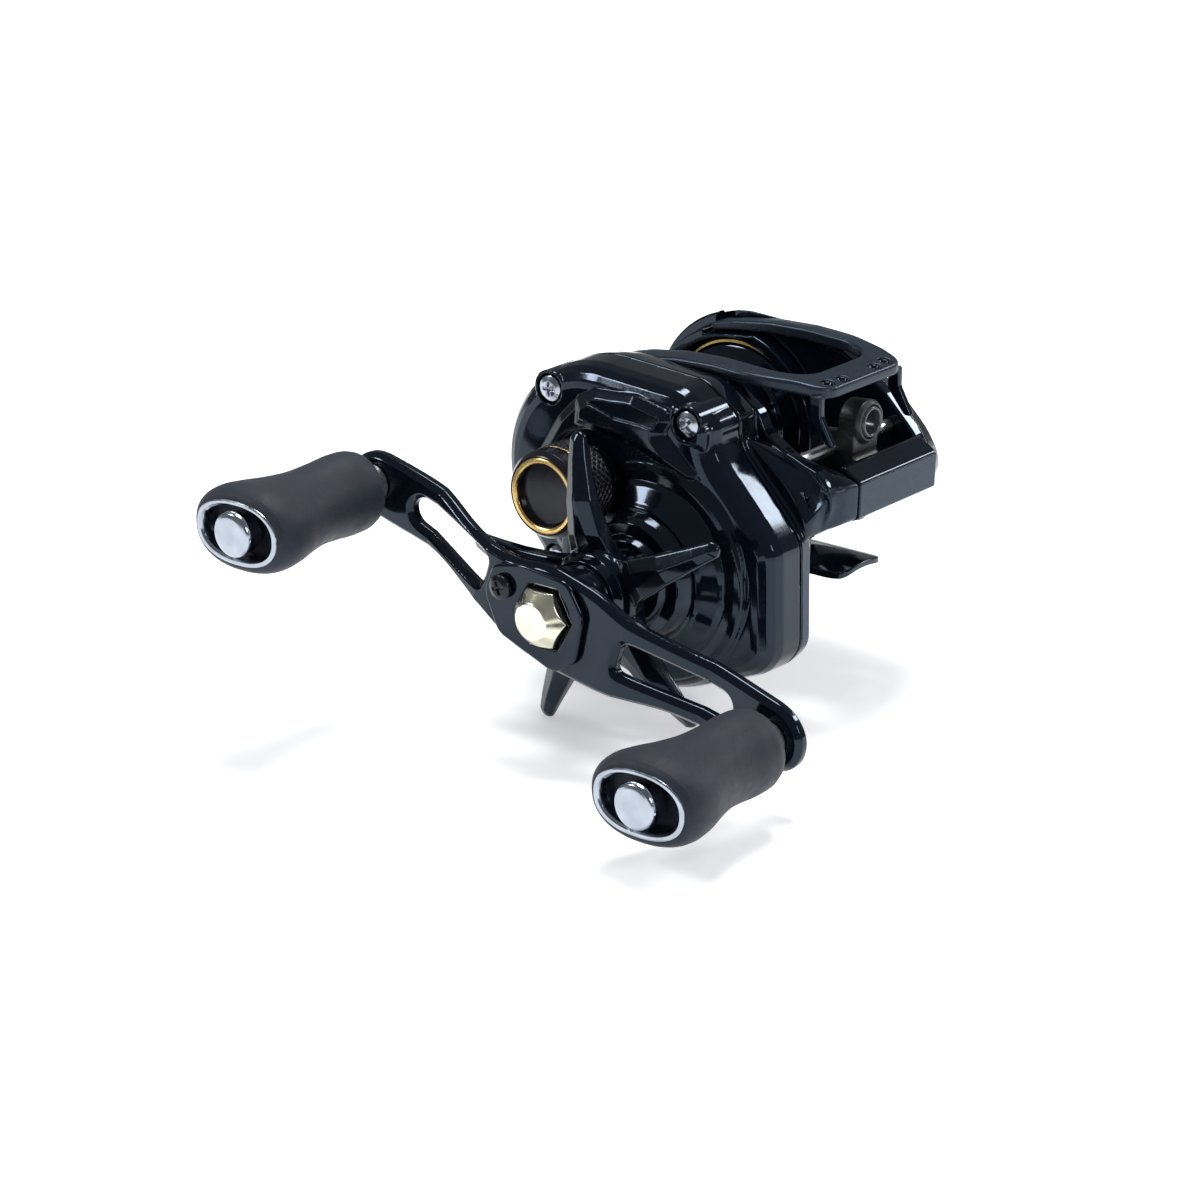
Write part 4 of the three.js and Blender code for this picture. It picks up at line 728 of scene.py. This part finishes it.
def thumb_bar():
    pad = soft_outline([(-31.8, 23.4), (-30.2, 25.2), (-26.6, 25.6), (-25.4, 24.8), (-25.6, 22.6),
                           (-26, 18.4), (-29.4, 18), (-31.2, 20.4)], 1.0, 0.12)

    def field(x, y, z):
        out = both(pad(y, z), np.abs(x) - 12.9, 0.7)
        for k in range(-4, 5):
            out = carve(out, np.hypot(x - 2.2 * k, z - 26.15) - 0.75, 0.15)
        tongues = block(x, y, z, (-16.2, 16.7), (-27.4, -25.6), (19.4, 23.6))
        return np.minimum(out, tongues)
    cast("thumb_bar", field, (-16.2, -31.8, 18), (16.7, -25.4, 25.6), 0.26, "thumb_lever", SATIN)


# -------- line guide


def line_guide():
    section = soft_outline([(24.4, 13.6), (30.6, 13.6), (31.2, 15), (31.2, 20.4), (29.6, 22.2),
                               (29.8, 25.4), (27, 27), (22.8, 26.4), (22.6, 21)], 0.6, 0.12)
    tower_of = lathe_field([(26.4, 0), (26.4, 3.6), (30.2, 3.9), (31, 3.4), (31, 0)])
    eye_of = lathe_field([(20, 0), (20, 3.4), (27, 3.05), (33, 3.05), (33, 0)])

    def field(x, y, z):
        q = np.hypot(x, z - EYELET_Z)
        out = both(section(y, z), np.abs(x) - 3.7, 0.5)
        neck = np.maximum(np.abs(y - 28.1) - 1.5, np.maximum(np.abs(x) - 3.55, np.abs(z - 25.5) - 2.6))
        out = merge(out, merge(neck, both(tower_of(y, q), y - 31, 0.2), 0.5), 0.4)
        bores = union(eye_of(y, q), cylinder(x, about(WORM, y, z), -6, 6, 2.2),
                       cylinder(x, about(GUIDE_ROD, y, z), -6, 6, 1.22),
                       cylinder(z, np.hypot(x, y - WORM[0]), 9.9, 16.5, 1.7))
        return np.maximum(out, -bores)
    cast("line_guide", field, (-3.9, 22.6, 13.6), (3.9, 31.2, 32), 0.2, "carriage", PLASTIC)
    lathe("guide_insert", [(28.2, 2.0), (27.7, 2.4), (27.7, 2.9), (30.8, 2.9), (31.3, 2.6), (31.2, 2.2),
                           (30.4, 1.95)], "carriage", CERAMIC, at=(0, EYELET_Z),
          radius=0.2, closed=True, axis="Y")


# -------- screws


def screw(name, x, y, z, reach, head_r, body, look, turn=0.0, spin=None):
    """A low domed head with a cross recess."""
    shank = head_r * 0.44
    dome_of = lathe_field([(x - 1.3, 0), (x - 1.3, head_r), (x - 0.55, head_r), (x - 0.15, head_r * 0.62),
                           (x, 0.3), (x, 0)], 0.06)
    c, s = math.cos(turn), math.sin(turn)

    def field(px, py, pz):
        u, v = (py - y) * c + (pz - z) * s, (pz - z) * c - (py - y) * s
        r = np.hypot(u, v)
        head = dome_of(px, r)
        depth = x - 0.75 + 0.25 * r
        slots = np.minimum(np.maximum(np.abs(u) - head_r * 0.55, np.abs(v) - 0.27),
                           np.maximum(np.abs(v) - head_r * 0.55, np.abs(u) - 0.27))
        head = carve(head, np.maximum(slots, depth - px), 0.08)
        return np.minimum(head, cylinder(px, r, x - reach, x - 1.2, shank))
    cast(name, field, (x - reach, y - head_r, z - head_r), (x, y + head_r, z + head_r), 0.13, body, look,
         spin)


# -------- star drag


def star_plan():
    """The star's outline about its axis."""
    step = 2 * math.pi / STAR_ARMS
    loop = []

    def polar(r, a):
        return np.array([r * math.cos(a), r * math.sin(a)])

    def curve(p0, p1, p2, p3, count):
        for t in np.linspace(0, 1, count, endpoint=False):
            loop.append((1 - t) ** 3 * p0 + 3 * t * (1 - t) ** 2 * p1
                        + 3 * t * t * (1 - t) * p2 + t ** 3 * p3)
    tip_half = 1.5 / STAR_REACH
    for i in range(STAR_ARMS):
        angle = STAR_ANGLE + i * step
        tip_in = polar(STAR_REACH - 0.9, angle - tip_half)
        tip_out = polar(STAR_REACH - 0.9, angle + tip_half)
        tip = polar(STAR_REACH + 0.9, angle)
        valley = polar(7.6, angle + step / 2)
        leave, arrive = polar(14.5, angle + 0.21), polar(14.5, angle + step - 0.21)
        following = polar(STAR_REACH - 0.9, angle + step - tip_half)
        curve(tip_in, (tip_in + 2 * tip) / 3, (tip_out + 2 * tip) / 3, tip_out, 8)
        curve(tip_out, leave, leave, valley, 14)
        curve(valley, arrive, arrive, following, 14)
    return np.array(loop)


def star_drag():
    plan = Outline(star_plan(), 0.15)
    r_at = [0, 8, 10.4, 17, 23, 30]
    under_x = [43.4, 43.4, 44.9, 45.6, 45.4, 44.8]
    top_r = [0, 7, 11, 17, 24, 30]
    top_x = [47.6, 47.6, 48.9, 49.2, 48.1, 46.6]
    hub_of = lathe_field([(43.4, 0), (43.4, 7.6), (46.4, 8.4), (47.8, 8.2), (48.4, 7.2), (50.6, 6.9),
                          (50.6, 6.1), (52.4, 5.8), (52.8, 6.6), (55.6, 6.4), (56.2, 5.6), (56.2, 0)],
                         0.1)

    def field(x, y, z):
        u, v = y - DRIVE[0], z - DRIVE[1]
        r = np.hypot(u, v)
        d = plan(u, v)
        inward = np.minimum(np.maximum(-d, 0), 2.4)
        top = x - (np.interp(r, top_r, top_x) - 1.15 + 0.48 * inward)
        low = np.interp(r, r_at, under_x) - x
        arms = both(d, np.maximum(top, low), 0.35)
        out = merge(arms, hub_of(x, r), 0.5)
        return np.maximum(out, -union(cylinder(x, r, 42, 46.8, 5.3), cylinder(x, r, 42, 58, 3.15)))
    low = (43.4, DRIVE[0] - STAR_REACH, DRIVE[1] - STAR_REACH)
    high = (56.2, DRIVE[0] + STAR_REACH, DRIVE[1] + STAR_REACH)
    cast("star_drag", field, low, high, 0.24, "star", GLOSS)


# -------- handle

HANDLE_TURN = Matrix.Translation((0, DRIVE[0] * MM, DRIVE[1] * MM)) @ Matrix.Rotation(HANDLE_PITCH, 4, "X")


def handle_blade():
    end = HANDLE_REACH
    upper = [(-end - 5.6, 2.4), (-end - 2, 5.4), (-38, 6), (-30, 6.2), (-21, 4.9), (-10, 5.4), (-3, 8.3),
             (8, 8.6), (16, 7), (26, 6.4), (38, 6.2), (end + 1.6, 6.2), (end + 6, 2.6)]
    lower = [(end + 6, -3), (end + 1, -6.4), (38, -6), (25, -6), (14, -8.2), (3, -9.6), (-6, -9.8),
             (-15, -6.6), (-26, -5.2), (-38, -6), (-end - 1, -6.2), (-end - 5.6, -3)]
    plan = Outline(rounded(upper + lower, 3.2), 0.2)
    slot = soft_outline([(15, 2.9), (17.6, 3.1), (35, 2.5), (36.6, 0), (35, -2.5), (17.6, -3.1),
                            (15, -2.9)], 1.6, 0.15)

    def field(x, y, z):
        bend = np.interp(np.abs(y), [12.5, 15.5, 31, 35], [0, -0.2, -BLADE_DROP + 0.2, -BLADE_DROP])
        lean = math.cos(math.atan(BLADE_DROP / 19))
        middle = BLADE_FACE + bend - BLADE_THICK / 2
        flat = (np.abs(x - middle) - BLADE_THICK / 2) * lean
        d = carve(plan(y, z), slot(np.abs(y), z), 0.3)
        d = np.maximum(d, -(np.hypot(y, z) - 3.3))
        d = np.maximum(d, -(np.hypot(np.abs(y) - end, z) - 1.95))
        out = bevelled(d, flat, np.where(x > middle, 0.95, 0.3))
        pit = np.maximum(np.hypot(y - RETAINER_SCREW[0], z - RETAINER_SCREW[1]) - 1.3, 58.1 - x)
        return np.maximum(out, -pit)
    cast("handle_blade", field, (52.4, -51, -10), (60, 51.4, 8.8), 0.3, "crank", GLOSS,
         HANDLE_TURN)


def hexagon(radius, phase):
    return [(radius * math.cos(phase + k * math.pi / 3), radius * math.sin(phase + k * math.pi / 3))
            for k in range(6)]


def handle_nut_and_retainer():
    hexa = Outline(hexagon(5.6, 0.3), 0.08, 3)
    cone_of = lathe_field([(60.3, 0), (60.3, 5.3), (60.6, 5.6), (61.95, 5.6), (64.48, 3.3), (64.6, 3.1),
                           (64.6, 0)], 0.06)

    def nut(x, y, z):
        r = np.hypot(y, z)
        out = both(both(hexa(y, z), cone_of(x, r), 0.06), 60.3 - x, 0.05)
        return np.maximum(out, -np.minimum(cylinder(x, r, 58, 63.2, 2.7), cylinder(x, r, 58, 60.9, 3.3)))
    cast("handle_nut", nut, (60.3, -5.7, -5.7), (64.6, 5.7, 5.7), 0.13, "crank", PALE_GOLD,
         HANDLE_TURN)
    plate = Outline(rounded([(-12.6, 3.4), (-13, -2), (-8, -7.8), (5, -8.6), (8.6, -4.4), (7.8, 4.2),
                             (2.9, 8.4), (-7, 6.6)], 1.6), 0.12, 4)
    seat = Outline(hexagon(6.1, 0.3), 0.1, 3)

    def retainer(x, y, z):
        d = carve(plate(y, z), seat(y, z), 0.1)
        d = np.maximum(d, -(np.hypot(y - RETAINER_SCREW[0], z - RETAINER_SCREW[1]) - 1.3))
        return bevelled(d, np.abs(x - 60.8) - 0.5, 0.3)
    cast("nut_retainer", retainer, (60.3, -13, -8.6), (61.3, 8.6, 8.4), 0.16, "crank", GLOSS,
         HANDLE_TURN)
    screw("retainer_screw", BLADE_FACE + 2.9, RETAINER_SCREW[0], RETAINER_SCREW[1], 4.2, 2.2, "crank",
          ANODISED, 0.6, HANDLE_TURN)


# Sections of a knob: distance from its base, half width, half height, squareness.
KNOB_SECTIONS = np.array([
    (0.0, 6.1, 6.1, 2.0), (0.25, 6.55, 6.55, 2.0), (0.9, 6.9, 6.9, 2.0), (4.0, 7.3, 7.3, 2.0),
    (9.0, 7.3, 7.0, 2.0), (14.0, 7.9, 6.6, 2.1), (19.0, 9.2, 6.8, 2.2), (24.0, 10.6, 7.3, 2.3),
    (27.0, 10.87, 7.5, 2.3), (29.0, 10.5, 7.1, 2.3), (29.8, 10.0, 6.7, 2.3), (30.15, 9.6, 6.3, 2.3)])


def smooth_table(table, at):
    """Smooth reading of a table's columns against its first."""
    x = table[:, 0]
    slopes = np.gradient(table, x, axis=0)
    i = np.clip(np.searchsorted(x, at) - 1, 0, len(x) - 2)
    h = x[i + 1] - x[i]
    t = ((at - x[i]) / h)[:, None]
    h = h[:, None]
    return ((2 * t ** 3 - 3 * t ** 2 + 1) * table[i] + (t ** 3 - 2 * t ** 2 + t) * h * slopes[i]
            + (3 * t ** 2 - 2 * t ** 3) * table[i + 1] + (t ** 3 - t ** 2) * h * slopes[i + 1])


def oval_rows(sections, count=112):
    """Loops of superellipse points for (x, half y, half z, squareness) sections."""
    a = np.linspace(0, 2 * math.pi, count, endpoint=False)
    c, s = np.cos(a), np.sin(a)
    rows = []
    for x, hy, hz, power in sections:
        y = hy * np.sign(c) * np.abs(c) ** (2 / power)
        z = hz * np.sign(s) * np.abs(s) ** (2 / power)
        rows.append(np.stack([np.full(count, x), y, z], 1))
    return rows


def skin(name, rows, body, look, shift, sharp=50):
    """A closed ring-shaped skin through loops, the last joined to the first."""
    count = len(rows[0])
    points = np.concatenate(rows) + (0, *shift)
    faces = []
    for a in range(len(rows)):
        b = (a + 1) % len(rows)
        for i in range(count):
            j = (i + 1) % count
            faces.append((a * count + i, a * count + j, b * count + j, b * count + i))
    return piece(name, points, faces, body, look, sharp=sharp)


def knob(side, sign):
    reach = HANDLE_REACH * sign
    shift = (DRIVE[0] + reach * math.cos(HANDLE_PITCH), DRIVE[1] + reach * math.sin(HANDLE_PITCH))
    body = side + "_grip"
    along = np.concatenate([np.linspace(0, 1, 8), np.linspace(1.6, 28.4, 44), np.linspace(28.8, 30.15, 8)])
    outer = smooth_table(KNOB_SECTIONS, along)
    outer[:, 0] += KNOB_BASE
    hy, hz = KNOB_RECESS
    inner = [(KNOB_END, hy + 0.9, hz + 0.9, 2.3), (KNOB_END, hy + 0.2, hz + 0.2, 2.3),
             (KNOB_END - 0.3, hy, hz, 2.3), (KNOB_END - 3.4, hy, hz, 2.3),
             (KNOB_END - 3.6, hy - 0.2, hz - 0.2, 2.3), (KNOB_END - 3.6, 2.5, 2.5, 2),
             (KNOB_END - 3.7, 2.1, 2.1, 2), (KNOB_BASE + 0.2, 2.1, 2.1, 2),
             (KNOB_BASE, 2.3, 2.3, 2), (KNOB_BASE, 5.8, 5.8, 2)]
    skin("handle_knob_" + side, oval_rows([tuple(r) for r in outer] + inner), body, GRIP,
         shift)
    ring = [(KNOB_END, hy + 0.8, hz + 0.7, 2.3), (KNOB_END + 0.25, hy + 0.75, hz + 0.65, 2.3),
            (KNOB_END + 0.4, hy + 0.45, hz + 0.38, 2.3), (KNOB_END + 0.35, hy - 0.05, hz - 0.02, 2.3),
            (KNOB_END - 0.1, hy - 0.45, hz - 0.4, 2.3), (KNOB_END - 2.4, hy - 0.8, hz - 0.5, 2.3),
            (KNOB_END - 2.4, hy - 0.32, hz - 0.32, 2.3), (KNOB_END - 0.05, hy - 0.3, hz - 0.3, 2.3),
            (KNOB_END, hy - 0.2, hz - 0.2, 2.3)]
    skin("knob_ring_" + side, oval_rows(ring), body, CHROME, shift, 35)
    lathe("knob_cap_" + side, [(KNOB_END - 2.6, 0), (KNOB_END - 2.6, 3.4), (KNOB_END + 0.2, 4.0),
                               (KNOB_END + 0.8, 4.1), (KNOB_END + 1.6, 3.85), (KNOB_END + 1.9, 2.9),
                               (KNOB_END + 1.85, 0)], body, CHROME, shift, radius=0.35)
    seat = BLADE_FACE - BLADE_DROP
    lathe("knob_post_" + side, [
        (seat - 3.2, 0), (seat - 3.2, 2.9), (seat - 2.9, 2.9), (seat - 2.9, 1.9), (seat + 0.3, 1.9),
        (seat + 0.3, 3.4), (KNOB_BASE - 0.3, 3.2), (KNOB_BASE - 0.3, 1.8), (KNOB_BASE + 26.4, 1.8),
        (KNOB_BASE + 26.4, 0)], "crank", STEEL, shift, radius=0.12)


# -------- spool and turned pieces


def spool():
    h, r = SPOOL_HALF, SPOOL_R
    half = [(h - 3, 10.9), (h - 2.2, 11.6), (h - 1.25, r - 1.15), (h - 0.7, r - 0.5), (h - 0.1, r - 0.5),
            (h, r - 1.3), (h - 1.6, 10.1), (1, 9.9), (1, 2.6), (5, 2.3), (5, 1.06)]
    lathe("spool", half + [(-a, b) for a, b in reversed(half)], "spool", GLOSS, SPOOL,
          radius=0.25, segments=144, closed=True)
    for name, sign in (("palm", -1), ("gear", 1)):
        edge = [(h - 0.78, r - 0.66), (h - 0.66, r - 0.12), (h - 0.54, r), (h - 0.1, r), (h, r - 0.1),
                (h, r - 0.7), (h - 0.1, r - 0.8)]
        profile = [(sign * a, b) for a, b in edge]
        lathe("spool_trim_" + name, profile, "spool", GOLD, SPOOL, radius=0.05, segments=144,
              closed=True)


def tension_knob():
    f, b, e, r = TENSION_FROM, TENSION_BAND, TENSION_END, TENSION_R

    def knurl(along, theta, radius):
        if radius < r - 0.3 or not f + 1.3 < along < b - 0.25:
            return 0.0
        u = theta * 30 / math.pi
        v = along / 0.62
        groove = min(abs(math.sin(math.pi * (u + v) / 2)), abs(math.sin(math.pi * (u - v) / 2)))
        return -0.22 * max(0.0, 1 - 2.2 * groove)
    rows = [(a, r) for a in np.arange(f + 1.5, b - 0.2, 0.105)]
    lathe("tension_knob", [
        (f, 0), (f, 7.2), (f + 0.4, 7.55), (f + 1.1, 7.6), (f + 1.2, 7.9)] + rows + [
        (b - 0.15, 7.9), (b, 7.7), (b + 0.1, 7.9), (e - 1, 7.8), (e - 0.15, 7.2), (e, 7.0), (e, 6.9),
        (e - 0.7, 6.9), (e - 0.7, 5.7), (e - 1.6, 5.3), (e - 1.6, 0)], "tension", ANODISED,
        SPOOL, radius=0.04, segments=480, bumps=knurl)
    lathe("tension_knob_line", [(b - 0.02, 7.4), (b - 0.02, 7.94), (b + 0.34, 7.94), (b + 0.34, 7.4)],
          "tension", GOLD, SPOOL, radius=0.05, segments=128, closed=True)
    lathe("tension_knob_ring", [(e - 0.6, 5.8), (e - 0.6, 6.8), (e - 0.05, 6.8), (e + 0.1, 6.62),
                                (e + 0.02, 6.1), (e - 0.2, 5.8)], "tension", GOLD,
          SPOOL, radius=0.08, segments=128, closed=True)


def brake_dial():
    face = PALM_FACE + 1.2
    dial_of = lathe_field([(face, 0), (face, DIAL_R), (face - 1.3, DIAL_R), (face - 1.9, DIAL_R - 0.7),
                           (face - 1.6, DIAL_R - 2), (face - 1.6, 0)], 0.1)

    def field(x, y, z):
        u, v = y - SPOOL[0], z - SPOOL[1]
        r = np.hypot(u, v)
        out = both(dial_of(x, r), r - DIAL_R, 0.2)
        bar = np.maximum(np.abs(u) - DIAL_R + 2.4, np.abs(v) - 1.1)
        bar = both(bar, np.abs(x - face + 1.75) - 0.75, 0.35)
        out = merge(out, bar, 0.3)
        for k in range(10):
            a = k * math.pi / 5
            out = carve(out, np.hypot(u - DIAL_R * math.cos(a), v - DIAL_R * math.sin(a)) - 0.7, 0.12)
        return np.minimum(out, cylinder(x, r, face, -22.8, 1.4))
    cast("brake_dial", field, (face - 2.5, SPOOL[0] - DIAL_R, SPOOL[1] - DIAL_R),
         (-22.8, SPOOL[0] + DIAL_R, SPOOL[1] + DIAL_R), 0.2, "dial", PLASTIC)


# -------- CAD nodes that keep their own mesh

KEPT = {
    STEEL: ["foot_screw_rear", "foot_screw_front", "guide_rod", "clutch_plate", "spool_shaft",
            "brake_inductor", "spool_bearing_palm", "spool_bearing_gear", "drive_shaft",
            "drive_shaft_bearing_inner", "drive_shaft_bearing_outer", "one_way_bearing", "ratchet_wheel",
            "key_washer", "pressure_plate", "spring_washers", "worm_shaft"],
    BRASS: ["pinion_gear", "layshaft_gear", "drive_gear", "star_nut", "guide_pawl"],
    PLASTIC: ["magnet_holder", "clutch_yoke", "idler_gear", "worm_gear", "worm_bushing_gear",
              "worm_bushing_palm", "pawl_cap"],
    CARBON: ["drag_washer_inner", "drag_washer_outer"],
}


def dress_cad_nodes():
    for look, names in KEPT.items():
        for name in names:
            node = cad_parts[name]
            node.data.materials.clear()
            node.data.materials.append(look)


# -------- studio


FLOOR_Z = -21.9  # just under the reel's lowest point


def studio():
    """A pale floor and four soft lights."""
    low, size = FLOOR_Z * MM, 4.0
    floor_mesh = bpy.data.meshes.new("studio_floor")
    floor_mesh.from_pydata([(-size, -size, low), (size, -size, low), (size, size, low), (-size, size, low)],
                           [], [(0, 1, 2, 3)])
    floor = bpy.data.objects.new("studio_floor", floor_mesh)
    bpy.context.scene.collection.objects.link(floor)
    paper = bpy.data.materials.new("studio_paper")
    paper.use_nodes = True
    shader = paper.node_tree.nodes["Principled BSDF"]
    shader.inputs["Base Color"].default_value = (0.93, 0.93, 0.93, 1)
    shader.inputs["Roughness"].default_value = 0.9
    shader.inputs["Specular IOR Level"].default_value = 0.1
    shader.inputs["Emission Color"].default_value = (0.95, 0.97, 1.0, 1)
    shader.inputs["Emission Strength"].default_value = 0.42
    floor_mesh.materials.append(paper)
    world = bpy.data.worlds.new("studio")
    world.use_nodes = True
    world.node_tree.nodes["Background"].inputs["Color"].default_value = (0.92, 0.95, 1.0, 1)
    world.node_tree.nodes["Background"].inputs["Strength"].default_value = 0.22
    bpy.context.scene.world = world
    aim = Vector((0.02, 0.005, 0.01))

    def softbox(name, place, width, height, power, colour=(1, 1, 1)):
        light = bpy.data.lights.new(name, "AREA")
        light.shape = "RECTANGLE"
        light.size, light.size_y = width, height
        light.energy = power
        light.color = colour
        obj = bpy.data.objects.new(name, light)
        obj.location = place
        obj.rotation_euler = (aim - Vector(place)).to_track_quat("-Z", "Y").to_euler()
        bpy.context.scene.collection.objects.link(obj)
    softbox("overhead", (-0.25, -0.15, 1.1), 0.42, 0.42, 11)
    softbox("key", (0.75, -0.75, 0.75), 0.26, 0.36, 6.5, (1.0, 0.97, 0.98))
    softbox("fill", (0.15, 1.1, 0.55), 0.22, 0.34, 4)
    softbox("rear", (-0.9, 0.4, 0.6), 0.3, 0.22, 4)
    bpy.context.scene.view_settings.view_transform = "Standard"


def camera():
    """The photograph's view: angles about the reel, then millimetres."""
    turn, lift, roll = math.radians(38.557), math.radians(20.027), math.radians(0.082)
    distance, focal_length, sensor = 673.02, 118.0746, 36
    shift_x, shift_y = -0.160, 1.200
    target = Vector((46, 7, 4))
    back = Vector((math.cos(turn) * math.cos(lift), math.sin(turn) * math.cos(lift), math.sin(lift)))
    right = Vector((-math.sin(turn), math.cos(turn), 0))
    up = back.cross(right)
    rolled_right = math.cos(roll) * right + math.sin(roll) * up
    rolled_up = math.cos(roll) * up - math.sin(roll) * right
    place = target - shift_x * rolled_right - shift_y * rolled_up + distance * back
    lens = bpy.data.cameras.new("camera")
    lens.sensor_width = sensor
    lens.lens = focal_length
    lens.clip_start, lens.clip_end = 0.05, 20
    eye = bpy.data.objects.new("camera", lens)
    axes = Matrix((rolled_right, rolled_up, back)).transposed().to_4x4()
    eye.matrix_world = Matrix.Translation(place * MM) @ axes
    bpy.context.scene.collection.objects.link(eye)
    bpy.context.scene.camera = eye


# -------- putting it together

gear_side_plate()
frame_casting()
palm_side_plate()
hood()
front_panel()
reel_foot()
thumb_bar()
line_guide()
for place, sy, sz, head in PLATE_SCREWS:
    screw("side_plate_screw_" + place, head, sy, sz, 8, 2.35, "body", CHROME, 0.4 + 0.7 * len(place))
star_drag()
handle_blade()
handle_nut_and_retainer()
knob("rear", -1)
knob("front", 1)
spool()
tension_knob()
brake_dial()
dress_cad_nodes()
studio()
camera()
